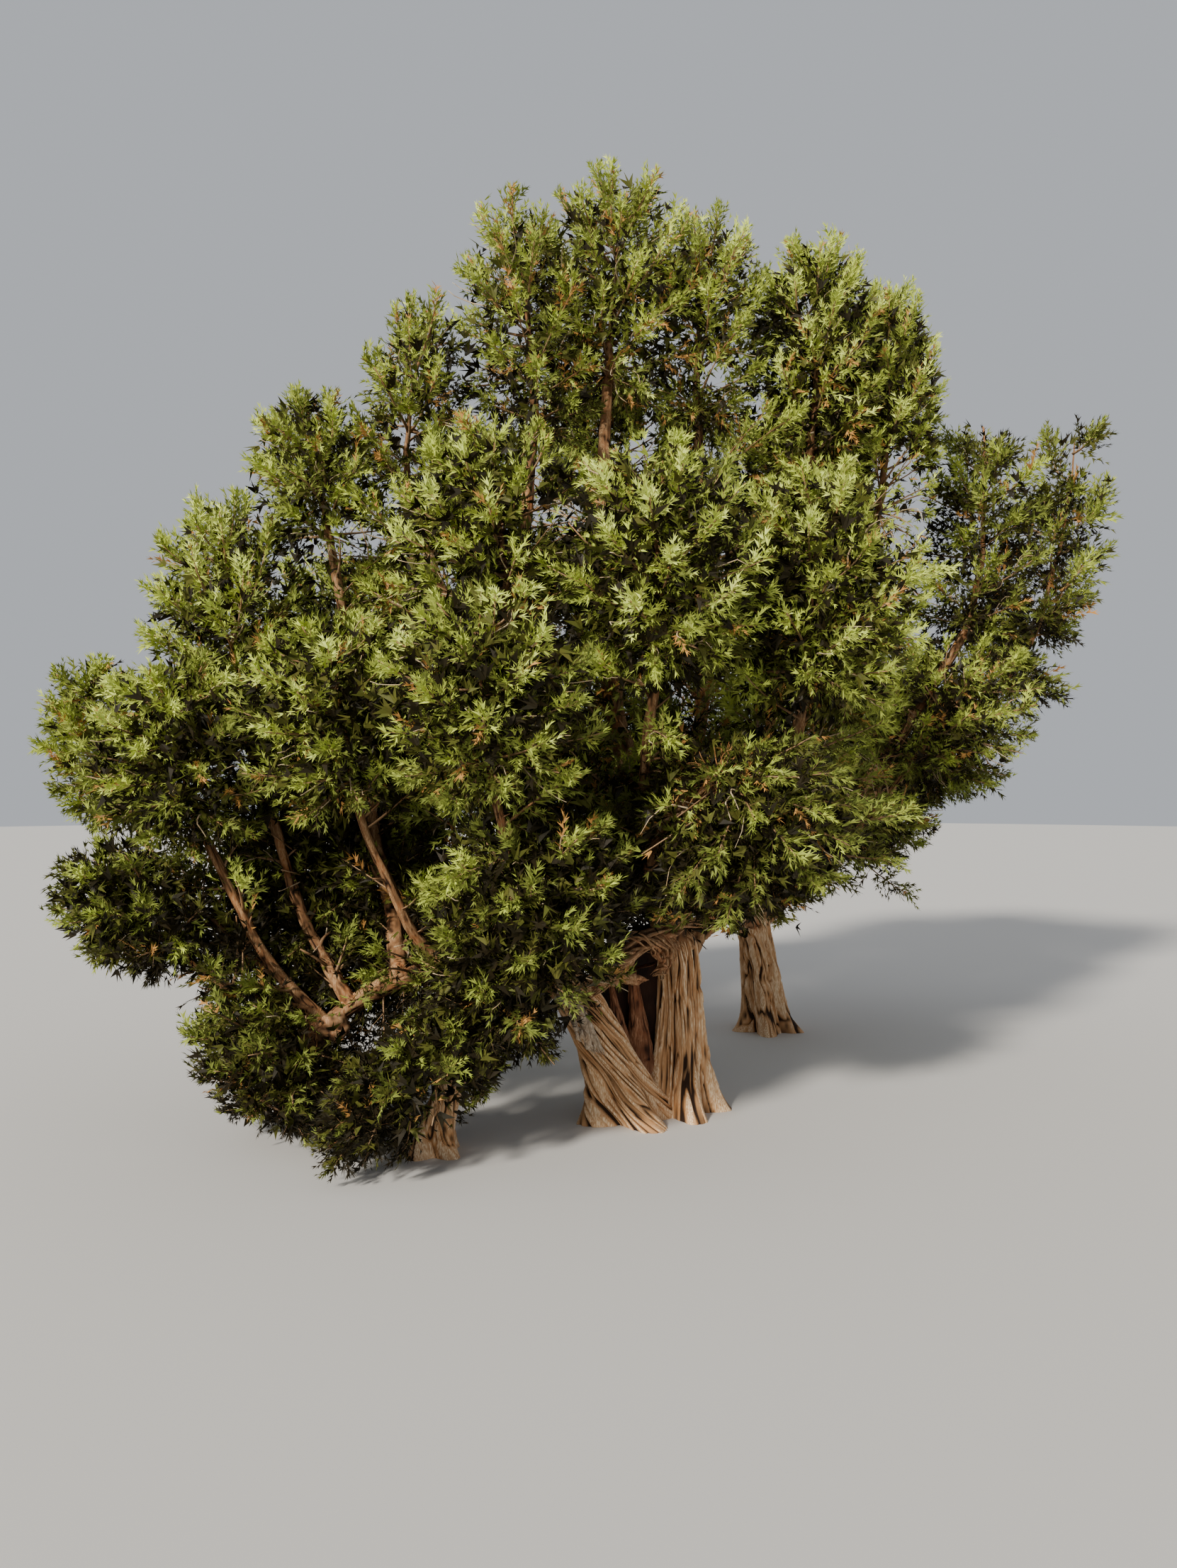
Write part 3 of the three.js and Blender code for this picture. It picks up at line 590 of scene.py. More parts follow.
def bark_relief(around, along, strips, rows, seed):
    """Relief from 0 in a furrow to 1 on a ridge. Strips come from noise in long cells, made steeper.
    Deep furrows are a bell round every place where slower noise is a half, and fine ones a bell round the
    places where the strips' own noise nearly is. Both are taken away, and fine grain is added."""
    around = around + WAVER * (noise_round(around, along, 5, 3 * rows, seed + 4) - 0.5)
    slow = noise_round(around, along, max(strips // 2, 3), rows, seed)
    strip = noise_round(around, along, strips, 2 * rows, seed + 1)
    grain = noise_round(around, along, 2 * strips, 5 * rows, seed + 2)
    deep_furrows = bell(SLOW_SHARE * slow + STRIP_SHARE * strip, **DEEP_FURROW)
    fine_furrows = bell(strip, **FINE_FURROW)
    ridges = smooth_step(np.clip((strip - RIDGE_FOOT) / RIDGE_SLOPE, 0, 1))
    relief = PLAIN_LEVEL + RIDGE_HEIGHT * ridges - DEEP_FURROW_DEPTH * deep_furrows
    return np.clip(relief - FINE_FURROW_DEPTH * fine_furrows + GRAIN_HEIGHT * (grain - GRAIN_MIDDLE), 0, 1)


sample_around, sample_along = np.meshgrid(np.linspace(0, 1, 90), np.linspace(0, 1, 60))
sample_relief = bark_relief(sample_around, sample_along, 50, 2, 11)
print("share of bark in furrows:", round(float((sample_relief < 0.2).mean()), 2))

# %% Faces of a limb
POLE_RELIEF = 0.5


def grid_faces(rings, sides):
    """Quads over rings of points listed from root to tip, and fans that close both ends to poles."""
    side = np.arange(sides)
    following = (side + 1) % sides
    low = (np.arange(rings - 1) * sides)[:, None]
    quads = np.stack([low + side, low + following, low + sides + following, low + sides + side], -1)
    last = (rings - 1) * sides
    root_pole = np.full(sides, rings * sides)
    root_fan = np.stack([root_pole, following, side], 1)
    tip_fan = np.stack([root_pole + 1, last + side, last + following], 1)
    return [quads.reshape(-1, 4), np.vstack([root_fan, tip_fan])]


def close_rings(rings):
    """Rings as a flat list of points, with a pole at the middle of the first and of the last ring."""
    return np.vstack([rings.reshape(-1, 3), rings[0].mean(0), rings[-1].mean(0)])


def make_ringed(name, rings, relief, material):
    """A closed piece over rings of points, with its relief kept for the colour."""
    relief = np.concatenate([relief.ravel(), [POLE_RELIEF, POLE_RELIEF]])
    return make_piece(name, close_rings(rings), grid_faces(*rings.shape[:2]), [woods[material]],
                      smooth=True, relief=relief)


# %% [markdown]
# ## Trunks
#
# A trunk keeps the solid's own rule for its radius: an even taper, a flare that fades with height, and
# buttresses drawn out of that flare that wind a little as they rise. Its rings stay level, so the foot is
# a flat cut at the ground. The strips of bark wind faster than the buttresses do on the leaning stem and
# hardly at all on the upright one. The top is rounded off where the boughs leave it.

# %% Trunks
FLARE_FADE = 0.16
STEM_LOBES = 0.07
FLARE_LOBES = 0.75
WINDING = 2.2
RING_CROWDING = 1.2
ROUNDING_START = 0.93
ROUNDING_LENGTH = 0.07
LEAST_TOP = 0.02
RELIEF_LEVEL = 0.7
COLUMN_SWELL = 0.12
TRUNK_LOOKS = {
    "main_left": dict(sides=400, rings=170, strips=50, rows=2, spiral=0.42, depth=0.03, seed=11),
    "main_right": dict(sides=400, rings=170, strips=54, rows=2, spiral=0.04, depth=0.028, seed=23),
    "right": dict(sides=220, rings=150, strips=36, rows=3, spiral=0.1, depth=0.026, seed=37),
    "left": dict(sides=150, rings=130, strips=26, rows=3, spiral=0.3, depth=0.015, seed=41),
}
# Each stem's piece, and the node that it stands for.
TRUNK_PIECES = {
    "main_left": ("main_left_stem_bark", "main_trunk"),
    "main_right": ("main_right_stem_bark", "main_trunk"),
    "right": ("right_trunk_bark", "right_trunk"),
    "left": ("left_trunk_bark", "left_trunk"),
}


def trunk_surface(name):
    """Level rings: radius (1 + lobes) + flare (1 + deep lobes) + relief, round the middle line."""
    trunk, looks = TRUNKS[name], TRUNK_LOOKS[name]
    angle = np.linspace(0, 2 * np.pi, looks["sides"], endpoint=False)[None, :]
    t = (np.linspace(0, 1, looks["rings"]) ** RING_CROWDING)[:, None]
    flare = trunk["flare"] * np.exp(-t / FLARE_FADE)
    radius = taper(trunk["girth"], t)
    lobe = np.cos(trunk["buttresses"] * (angle - trunk["turn"]) + WINDING * t)
    around = angle / (2 * np.pi) + looks["spiral"] * t
    along = t + 0 * angle
    relief = bark_relief(around, along, looks["strips"], looks["rows"], looks["seed"])
    columns = noise_round(around, along, looks["strips"] // 5, 2, looks["seed"] + 5) - 0.5
    past = np.clip(t - ROUNDING_START, 0, 1) / ROUNDING_LENGTH
    rounding = np.sqrt(np.clip(1 - past ** 2, LEAST_TOP, 1))
    reach = radius * (1 + STEM_LOBES * lobe) + flare * (1 + FLARE_LOBES * lobe)
    reach = reach * rounding + looks["depth"] * (relief - RELIEF_LEVEL) + COLUMN_SWELL * radius * columns
    centre = along_line(lines[name], t[:, 0])[:, None, :]
    level = np.stack([np.cos(angle) * reach, np.sin(angle) * reach, 0 * reach], -1)
    return centre + level, relief


for name, (piece_name, node) in TRUNK_PIECES.items():
    finish_piece(make_ringed(piece_name, *trunk_surface(name), "trunk_bark"), "trunk_bark", node)

# %% [markdown]
# ## Boughs
#
# A bough is a tapering limb whose rings stand square to its middle line. Real ones are never quite
# straight or round, so the line sways by a fraction of the limb's own thickness, knots swell here and
# there, and the bark lies in short scaly strips. Each follows its solid and takes that solid's place.

# %% Boughs
BOUGH_SIDES = 36
BOUGH_RING_STEP = 0.03
LEAST_RINGS = 12
COLLAR = 0.3
COLLAR_FADE = 0.05
TAPER_POWER = 0.85
SWAY = 0.42
WAVES_PER_METRE = (2.0, 5.5)
TURN_PER_METRE = 0.12
BARK_STRIPS = 9
BARK_ROWS_PER_METRE = 3.5
KNOTS_PER_METRE = 4
PLAIN_REACH = 0.97
KNOT_SWELL = 0.34
BARK_SWELL = 0.2
TIP_SHARE = 0.7
RELIEF_MIDDLE = 0.6


def limb_surface(line, girth, seed):
    """Rings square to a middle line: centre + radius (normal cos a + across sin a), with sway, knots
    and bark. The radius is root + (tip - root) t^power, times 1 + collar exp(-t / fade)."""
    random = np.random.default_rng(seed)
    length = np.linalg.norm(np.diff(along_line(line, np.linspace(0, 1, 20)), axis=0), axis=1).sum()
    t = np.linspace(0, 1, max(int(length / BOUGH_RING_STEP), LEAST_RINGS))
    across = np.cross(line_headings(line, t), line["normal"])
    radius = taper(girth, t ** TAPER_POWER) * (1 + COLLAR * np.exp(-t / COLLAR_FADE))
    waves = random.uniform(*WAVES_PER_METRE, 4) * length
    phases = random.uniform(0, 2 * np.pi, 4)
    swing = [np.sin(wave * t + phase) - np.sin(phase) * (1 - t) for wave, phase in zip(waves, phases)]
    fade = np.sin(np.pi * t) * SWAY * radius
    centre = along_line(line, t) + line["normal"] * (fade * (swing[0] + 0.5 * swing[1]))[:, None]
    centre += across * (fade * (swing[2] + 0.5 * swing[3]))[:, None]
    angle = np.linspace(0, 2 * np.pi, BOUGH_SIDES, endpoint=False)[None, :]
    around = angle / (2 * np.pi) + TURN_PER_METRE * length * t[:, None]
    along = t[:, None] + 0 * angle
    relief = bark_relief(around, along, BARK_STRIPS, max(int(length * BARK_ROWS_PER_METRE), 3), seed + 3)
    knots = noise_round(around, along, 3, max(int(length * KNOTS_PER_METRE), 3), seed + 7) - 0.5
    reach = radius[:, None] * (PLAIN_REACH + KNOT_SWELL * knots + BARK_SWELL * (relief - RELIEF_MIDDLE))
    reach[-1] *= TIP_SHARE
    ring_first = line["normal"][None, None, :] * (reach * np.cos(angle))[..., None]
    ring_second = across[:, None, :] * (reach * np.sin(angle))[..., None]
    return centre[:, None, :] + ring_first + ring_second, relief


for number, (name, bough) in enumerate(BOUGHS.items()):
    surface = limb_surface(lines[name], bough.girth, 100 + 10 * number)
    finish_piece(make_ringed(f"{name}_bough_bark", *surface, "bough_bark"), "bough_bark", f"{name}_bough")

# %% [markdown]
# ## Rooms for the foliage
#
# Each mass of foliage keeps to a room of its own: an egg round the line from its bough's tip to its
# furthest tip, with flat walls where two neighbours meet. The rule is the solids' rule, so the leaves
# fill the same space and reach the same tips. Solids must keep clear of each other, but real foliage
# interlaces, so here each room reaches a little way past its walls into its neighbour.

# %% Rooms
HANG_SHARE = 0.5
GROUND_GAP = 0.04
INTERLACE = 0.28


def room_of(base, far, half):
    """An egg whose long half axis is the way from base to far over 1 + hang, ending at far."""
    base, far = np.asarray(base, float), np.asarray(far, float)
    length = np.linalg.norm(far - base) / (1 + HANG_SHARE)
    axis = unit(far - base)
    back = unit(np.array([0, 1, 0]) - axis * axis[1])
    across = np.cross(back, axis)
    return {"base": base, "far": far, "axis": axis, "centre": far - axis * length,
            "basis": np.array([axis, across, back]), "spans": np.array([length, *half])}


def breadth_towards(room, direction):
    """How far the egg reaches towards a direction, measured to the plane that touches it there."""
    return np.sqrt(((room["basis"] @ direction * room["spans"]) ** 2).sum())


def raise_walls(rooms):
    """Flat walls between neighbours, placed by their sizes, and one just above the ground."""
    for room in rooms.values():
        normals, reaches = [np.array([0, 0, -1.0])], [room["centre"][2] - GROUND_GAP]
        for other in rooms.values():
            if other is room:
                continue
            away = other["centre"] - room["centre"]
            distance, direction = np.linalg.norm(away), unit(away)
            own = breadth_towards(room, direction)
            share = own / (own + breadth_towards(other, direction))
            normals.append(direction)
            reaches.append(distance * share + INTERLACE)
        room["normals"], room["reaches"] = np.array(normals), np.array(reaches)


def inside_egg(room, points):
    """Whether points lie in a room's egg, whatever its walls."""
    return ((((points - room["centre"]) @ room["basis"].T) / room["spans"]) ** 2).sum(-1) <= 1


def is_inside(room, points):
    """Whether points lie in a room: in its egg and behind all its walls."""
    offsets = points - room["centre"]
    return inside_egg(room, points) & (offsets @ room["normals"].T <= room["reaches"]).all(-1)


def reach_towards(room, directions):
    """The distance from a room's centre to its boundary along unit directions."""
    egg = 1 / np.sqrt(((directions @ room["basis"].T / room["spans"]) ** 2).sum(-1))
    slopes = directions @ room["normals"].T
    walls = np.where(slopes > 1e-6, room["reaches"] / np.maximum(slopes, 1e-6), np.inf).min(-1)
    return np.minimum(egg, walls)


rooms = {name: room_of(bough.tip, bough.far, bough.half) for name, bough in BOUGHS.items() if bough.far}
for name, (share, far, half) in TRUNK_MASSES.items():
    rooms[name] = room_of(along_line(lines["left"], share), far, half)
raise_walls(rooms)
print("rooms:", len(rooms))

# %% [markdown]
# ## Stems
#
# From the bough's tip a stem runs on through its room, nearly to its far end. It leaves along the bough's
# own heading and thins out faster than the bough does.

# %% Stems
STEM_SHARE = 0.84
STEM_PULL = 0.4
STEM_THINNING = 0.78
STEM_POWER = 0.8
TRUNK_MASS_GIRTH = 0.04


def stem_curve(name, room):
    """The stem's start, pull and end: it leaves along its bough's heading and bends to the far tip."""
    heading = line_headings(lines[name], 1.0) if name in BOUGHS else room["axis"]
    end = room["base"] + STEM_SHARE * (room["far"] - room["base"])
    pull = room["base"] + STEM_PULL * np.linalg.norm(end - room["base"]) * unit(heading + room["axis"])
    return room["base"], pull, end


def stem_radius(name, t):
    """Half the thickness of a mass's stem: the bough's tip radius times 1 - thinning t^power."""
    root_radius = BOUGHS[name].girth[1] if name in BOUGHS else TRUNK_MASS_GIRTH
    return root_radius * (1 - STEM_THINNING * np.clip(t, 0, 1) ** STEM_POWER)


stem_ends = np.array([stem_curve(name, room)[2] for name, room in rooms.items()])
print("stems end between", stem_ends[:, 2].min().round(2), "and", stem_ends[:, 2].max().round(2), "m up")

# %% [markdown]
# ## Branchlets
#
# Branchlets leave the stem all round by the golden angle, as the solids' sprays do, long ones low and short
# ones near the top. High ones curve upwards at the end like flames, and low ones sag. Their tips reach out
# furthest round a few random axes, which parts a mass into flame-shaped tufts. Where other rooms stand
# outside a branchlet's tip it gets no light, and most of those have died, as they do inside a real crown.
# Some masses are more open than others: the far right ones, where the sky shows through, most of all.

# %% Light and flames
GOLDEN_ANGLE = np.pi * (3 - np.sqrt(5))
PROBES = (0.35, 0.8, 1.3, 1.9)
FLAME_WIDTH = 0.32
FLAME_TURN = 1.7
FLAME_UNEVENNESS = (0.2, 0.8)
LOWEST_FLAME = -0.85
FLAME_RISE = 1.85


def exposure(own, points, directions):
    """The share of probes beyond the points, outwards, that meet no other room: 1 is in full light."""
    covered = np.zeros(len(points))
    for probe in PROBES:
        place = points + directions * probe
        hit = np.zeros(len(points), bool)
        for other in rooms.values():
            if other is not own:
                hit |= inside_egg(other, place)
        covered += hit
    return 1 - covered / len(PROBES)


def around_axis(lift, turn):
    """Directions at a height from -1 to 1 along an axis and an angle round it, the axis first."""
    level = np.sqrt(np.clip(1 - lift ** 2, 0, 1))
    return np.stack([lift, level * np.cos(turn), level * np.sin(turn)], 1)


def flames(outward, count, random):
    """How near directions are to one of a few random axes: 1 on an axis, less by a bell of the angle."""
    order = np.arange(count) + random.uniform(*FLAME_UNEVENNESS, count)
    turn = order * GOLDEN_ANGLE * FLAME_TURN + random.uniform(0, 2 * np.pi)
    axes = around_axis(LOWEST_FLAME + FLAME_RISE * order / count, turn)
    angle = np.arccos(np.clip(outward @ axes.T, -1, 1))
    return bell(angle, 0, FLAME_WIDTH).max(1)


# %% Branchlets
PLUMES_PER_AREA = 5.4
FLAMES_PER_AREA = 1.3
SHADED_SHARE = 0.14
LOWEST_LIFT = -0.92
LIFT_RISE = 1.9
STEM_MIDDLE = 0.32
STEM_BY_LIFT = 0.6
STEM_UNEVENNESS = 0.06
STEM_SPAN = (0.03, 0.98)
CURVE = 0.1
CURVE_BY_LIFT = 0.16
CURVE_CHANCE = 0.05
UNEVEN_REACH = 0.12
FLAME_DEPTH = 0.12
DEEP_FLAMES = {
    "far_right_inner": 0.42, "far_right_outer": 0.48, "far_left": 0.25, "left_high": 0.2, "low_left": 0.25,
    "right_shoulder": 0.2,
}
# How many branchlets the more open masses have, as a share of the usual number.
AIRY = {
    "far_right_inner": 0.42, "far_right_outer": 0.34, "back_left": 0.7, "back_right_high": 0.7,
    "back_right_low": 0.75, "back_centre_high": 0.65, "back_low": 0.78, "top_left": 0.8, "top_right": 0.8,
    "left_shoulder": 0.8, "top_centre": 0.85,
}


def branchlets(name, room, random):
    """Where the branchlets of a mass leave its stem, the pull that curves them, and their tips."""
    area = 4 * np.pi * np.mean(room["spans"]) ** 2
    count = int(PLUMES_PER_AREA * AIRY.get(name, 1) * area)
    order = np.arange(count) + 0.5
    lift = LOWEST_LIFT + LIFT_RISE * order / count
    outward = around_axis(lift, order * GOLDEN_ANGLE + random.uniform(0, 2 * np.pi))
    direction = unit((outward * room["spans"]) @ room["basis"])
    flame = flames(outward, int(FLAMES_PER_AREA * area), random)
    reach = reach_towards(room, direction) * (1 - UNEVEN_REACH * random.random(count) ** 2)
    reach = reach * (1 - DEEP_FLAMES.get(name, FLAME_DEPTH) * (1 - flame))
    tip = room["centre"] + direction * reach[:, None]
    light = exposure(room, tip, direction)
    kept = random.random(count) < SHADED_SHARE + (1 - SHADED_SHARE) * light
    place = STEM_MIDDLE + STEM_BY_LIFT * lift + random.uniform(-STEM_UNEVENNESS, STEM_UNEVENNESS, count)
    root = curve_points(*stem_curve(name, room), np.clip(place, *STEM_SPAN))
    span = np.linalg.norm(tip - root, axis=1)[:, None]
    rise = (-CURVE - CURVE_BY_LIFT * lift)[:, None]
    pull = (root + tip) / 2 + room["axis"] * rise * span
    pull = pull + random.normal(0, CURVE_CHANCE, (count, 3)) * span
    return {key: value[kept] for key, value in dict(
        root=root, pull=pull, tip=tip, light=light, lift=lift, direction=direction, flame=flame,
        shoot=np.zeros(count, bool)).items()}


# %% [markdown]
# ## Side shoots
#
# Between its fork and its mass a bough isn't bare: short shoots leave it on all sides, and they close the
# hollows between the masses. Boughs inside the crown and behind it carry longer ones. Shoots don't belong
# to a room, so a rule keeps them away from the trunks, whose bark shows low down in the middle of the tree.

# %% Side shoots
SHOOTS_PER_METRE = 6.0
THICK_SHOOTS = {"reclining": 2.6}
SHOOT_LENGTH = (0.38, 0.62)
SHOOT_SPAN = (0.2, 1.0)
DEEP_SHOOTS_PER_METRE = 8.0
DEEP_SHOOT_LENGTH = (0.55, 1.1)
DEEP_SHOOT_SPAN = (0.06, 0.88)
DEEP_BOUGHS = (
    "top_centre", "top_left", "top_right", "right_shoulder", "right_crest", "left_shoulder", "front_right",
    "back_left", "back_right_high", "back_centre_high", "back_low", "back_right_low", "right_low",
)
SHOOT_FORWARD = 0.45
SHOOT_UPWARD = np.array([0, 0, 0.1])
SHOOT_WAVER = 0.04
SHOOT_FLAME = 0.3
SHOOT_FLOOR = 0.3
TRUNK_CLEAR_HEIGHT = 1.5
TRUNK_CLEAR_SIDE = -1.05


def side_shoots(name, random):
    """Short branchlets that leave a bough itself, outwards and a little forwards, clear of the trunks."""
    line, deep = lines[name], name in DEEP_BOUGHS
    per_metre = DEEP_SHOOTS_PER_METRE if deep else SHOOTS_PER_METRE
    count = int(per_metre * THICK_SHOOTS.get(name, 1) * np.linalg.norm(line["tip"] - line["start"]))
    t = random.uniform(*(DEEP_SHOOT_SPAN if deep else SHOOT_SPAN), count)
    root, heading = along_line(line, t), line_headings(line, t)
    sideways = unit(np.cross(heading, random.normal(0, 1, (count, 3))))
    direction = unit(sideways + SHOOT_FORWARD * heading + SHOOT_UPWARD)
    tip = root + direction * random.uniform(*(DEEP_SHOOT_LENGTH if deep else SHOOT_LENGTH), (count, 1))
    pull = (root + tip) / 2 + random.normal(0, SHOOT_WAVER, (count, 3))
    clear = (tip[:, 2] > TRUNK_CLEAR_HEIGHT) | (tip[:, 0] < TRUNK_CLEAR_SIDE)
    kept = (tip[:, 2] > SHOOT_FLOOR) & clear
    return {key: value[kept] for key, value in dict(
        root=root, pull=pull, tip=tip, light=exposure(None, tip, direction), lift=np.zeros(count),
        direction=direction, flame=np.full(count, SHOOT_FLAME), shoot=np.ones(count, bool)).items()}


plumes = {}
for number, (name, room) in enumerate(rooms.items()):
    random = np.random.default_rng(1000 + number)
    plumes[name] = branchlets(name, room, random)
    if name in BOUGHS:
        shoots = side_shoots(name, random)
        plumes[name] = {key: np.concatenate([plumes[name][key], shoots[key]]) for key in shoots}
print("branchlets:", sum(len(group["root"]) for group in plumes.values()))

# %% [markdown]
# ## Wood as tubes
#
# Stems, branchlets and twigs are closed tubes along curves. All tubes of one kind are worked out at once,
# as an array with one axis for tubes, one for rings and one for the points of a ring, and joined into one
# piece.

# %% Tubes
UPRIGHT = 0.75
TUBE_RELIEF = (0.2, 1)


def tubes(paths, radii, sides):
    """Closed tubes along many paths at once, (tubes, rings, 3), with radii (tubes, rings). A ring's
    point at angle a is centre + radius (first cos a + second sin a), square to the path."""
    count, rings = radii.shape
    heading = unit(np.gradient(paths, axis=1))
    upright = np.abs(heading.mean(1)[:, 2:]) > UPRIGHT
    helper = np.where(upright, [[1.0, 0, 0]], [[0, 0, 1.0]])[:, None, :]
    first = unit(np.cross(heading, helper))
    second = np.cross(heading, first)
    angle = np.linspace(0, 2 * np.pi, sides, endpoint=False)[None, None, :, None]
    ring = first[:, :, None] * np.cos(angle) + second[:, :, None] * np.sin(angle)
    points = paths[:, :, None] + ring * radii[:, :, None, None]
    side = np.arange(sides)
    following = (side + 1) % sides
    low = (np.arange(rings - 1) * sides)[:, None]
    quads = np.stack([low + side, low + following, low + sides + following, low + sides + side], -1)
    fan = np.arange(1, sides - 1)
    root_cap = np.stack([0 * fan, fan + 1, fan], 1)
    tip_cap = np.stack([0 * fan, fan, fan + 1], 1) + (rings - 1) * sides
    start = (np.arange(count) * rings * sides)[:, None, None]
    quads = (quads.reshape(1, -1, 4) + start).reshape(-1, 4)
    caps = (np.concatenate([root_cap, tip_cap])[None] + start).reshape(-1, 3)
    return points.reshape(-1, 3), [quads, caps]


def joined(parts):
    """Several (points, [quads, triangles]) pairs as one."""
    points, quads, triangles, offset = [], [], [], 0
    for part_points, (part_quads, part_triangles) in parts:
        points.append(part_points)
        quads.append(part_quads + offset)
        triangles.append(part_triangles + offset)
        offset += len(part_points)
    return np.vstack(points), [np.vstack(quads), np.vstack(triangles)]


def make_woody(name, parts, material, seed):
    """Tubes joined into one piece of the given wood, with a random relief at each point for the colour."""
    points, faces = joined(parts)
    relief = np.random.default_rng(seed).uniform(*TUBE_RELIEF, len(points))
    piece = make_piece(name, points, faces, [woods[material]], smooth=True, relief=relief)
    finish_piece(piece, "bough_bark")


# %% Stems and branchlets as pieces
STEM_SIDES = 12
STEM_WAVER = 0.005
BRANCHLET_HALF = (0.008, 0.017)
BRANCHLET_THINNING = 0.8
BRANCHLET_LEAST = 0.0015

stem_parts = []
stem_t = np.linspace(-0.04, 1, 26)
for number, (name, room) in enumerate(rooms.items()):
    path = curve_points(*stem_curve(name, room), stem_t)
    sway = np.random.default_rng(number).normal(0, STEM_WAVER, (len(stem_t) - 2, 3))
    path[2:] += np.cumsum(sway, axis=0)
    stem_parts.append(tubes(path[None], stem_radius(name, stem_t)[None], STEM_SIDES))
make_woody("crown_stems", stem_parts, "bough_bark", 5)

branchlet_t = np.linspace(0, 1, 6)
all_roots, all_pulls, all_tips = (
    np.concatenate([group[key] for group in plumes.values()]) for key in ("root", "pull", "tip"))
branchlet_paths = curve_points(all_roots[:, None], all_pulls[:, None], all_tips[:, None], branchlet_t)
branchlet_half = np.random.default_rng(6).uniform(*BRANCHLET_HALF, len(all_roots))[:, None]
branchlet_radii = branchlet_half * (1 - BRANCHLET_THINNING * branchlet_t)[None] + BRANCHLET_LEAST
make_woody("branchlets", [tubes(branchlet_paths, branchlet_radii, 3)], "twig_bark", 6)

# %% [markdown]
# ## Where no leaf may stand
#
# Leaves don't grow through a limb. Several limbs show bare from the front, so what would stand just before
# them, on the way from the camera, is left out too. In the same way the sky shows between the lobes: cones
# from the camera, oval and with ragged edges, keep nearly all leaves out. A few stay, so that no edge looks
# cut.

# %% Bare limbs and windows of sky
LIMB_SAMPLES = 60
STEM_SAMPLES = 30
LIMB_CLEARANCE = 0.012
BARE_MARGIN = 0.025
BARE_DEPTH = 1.3
BARE_LEFTOVER = 0.1
WINDOW_EDGE = (0.55, 1.15)
# Limbs that show bare in front, from one share of their length to another, and stems that do.
BARE_BOUGHS = {
    "left": (0.0, 0.42), "main_left": (0.0, 0.8), "left_low": (0.0, 0.85), "left_mid": (0.0, 0.75),
    "left_high": (0.05, 0.5), "mid_left": (0.25, 0.7), "front_right_low": (0.3, 0.95),
    "top_centre": (0.36, 0.52), "left_shoulder": (0.35, 0.8), "top_left": (0.55, 0.95),
    "top_right": (0.58, 0.78), "right_crest": (0.58, 0.8), "right_shoulder": (0.6, 0.8),
    "right_low": (0.2, 0.6), "far_right_inner": (0.55, 1.0), "reclining": (0.88, 1.0),
}
BARE_STEMS = {"centre_high": (0.0, 0.6), "top_centre": (0.0, 0.25), "right_crest": (0.0, 0.5)}
NOT_BARE = (2, 2)
# Windows of sky between the lobes, by slopes across and up from the camera, and their half sizes.
SKY_WINDOWS = (
    (0.275, 0.252, 0.028, 0.056), (-0.212, 0.213, 0.044, 0.019), (-0.022, 0.235, 0.024, 0.021),
    (-0.025, 0.141, 0.009, 0.016), (-0.126, 0.179, 0.01, 0.016), (-0.16, 0.31, 0.014, 0.02),
    (0.11, 0.36, 0.012, 0.016), (-0.06, 0.4, 0.012, 0.014), (0.045, 0.29, 0.012, 0.02),
    (-0.047, 0.262, 0.009, 0.06), (0.055, 0.31, 0.008, 0.026), (0.12, 0.19, 0.007, 0.02),
    (0.19, 0.42, 0.009, 0.014), (0.02, 0.47, 0.008, 0.012), (0.15, 0.33, 0.008, 0.014),
)


def bare_part(spans, name, t):
    """Whether shares t of a limb lie in the part of it that shows bare."""
    low, high = spans.get(name, NOT_BARE)
    return (t >= low) & (t <= high)


limb_samples = []
for name, line in lines.items():
    t = np.linspace(0, 1, LIMB_SAMPLES)
    radius = taper(girth_of(name), t)
    limb_samples.append(np.column_stack([along_line(line, t), radius, bare_part(BARE_BOUGHS, name, t)]))
for name, room in rooms.items():
    t = np.linspace(0, 1, STEM_SAMPLES)
    samples = curve_points(*stem_curve(name, room), t)
    limb_samples.append(np.column_stack([samples, stem_radius(name, t), bare_part(BARE_STEMS, name, t)]))
limb_samples = np.vstack(limb_samples)
print("samples of limbs:", len(limb_samples), "bare:", int(limb_samples[:, 4].sum()))


def window_distance(ray, window):
    """How far rays from the camera are from a window's middle, squared: 1 is on its oval edge."""
    across, up, half_width, half_height = window
    aside = (ray[:, 0] / ray[:, 1] - across) / half_width
    above = (ray[:, 2] / ray[:, 1] - up) / half_height
    return aside ** 2 + above ** 2


def off_limbs(room, points, random):
    """Whether points are outside every limb near a room, and not before a bare one or in a window."""
    near = np.linalg.norm(limb_samples[:, :3] - room["centre"], axis=1) < room["spans"].max() + BARE_DEPTH
    clear = np.ones(len(points), bool)
    leftover = random.random(len(points)) < BARE_LEFTOVER
    ragged = random.uniform(*WINDOW_EDGE, len(points))
    for window in SKY_WINDOWS:
        clear &= (window_distance(points - CAMERA_PLACE, window) > ragged) | leftover
    for x, y, z, radius, bare in limb_samples[near]:
        offset = points - [x, y, z]
        square = (offset ** 2).sum(1)
        clear &= square > (radius + LIMB_CLEARANCE) ** 2
        if bare:
            ahead = offset @ unit(np.array(CAMERA_PLACE) - [x, y, z])
            aside = square - ahead ** 2
            clear &= (ahead < 0) | (ahead > BARE_DEPTH) | (aside > (radius + BARE_MARGIN) ** 2) | leftover
    return clear


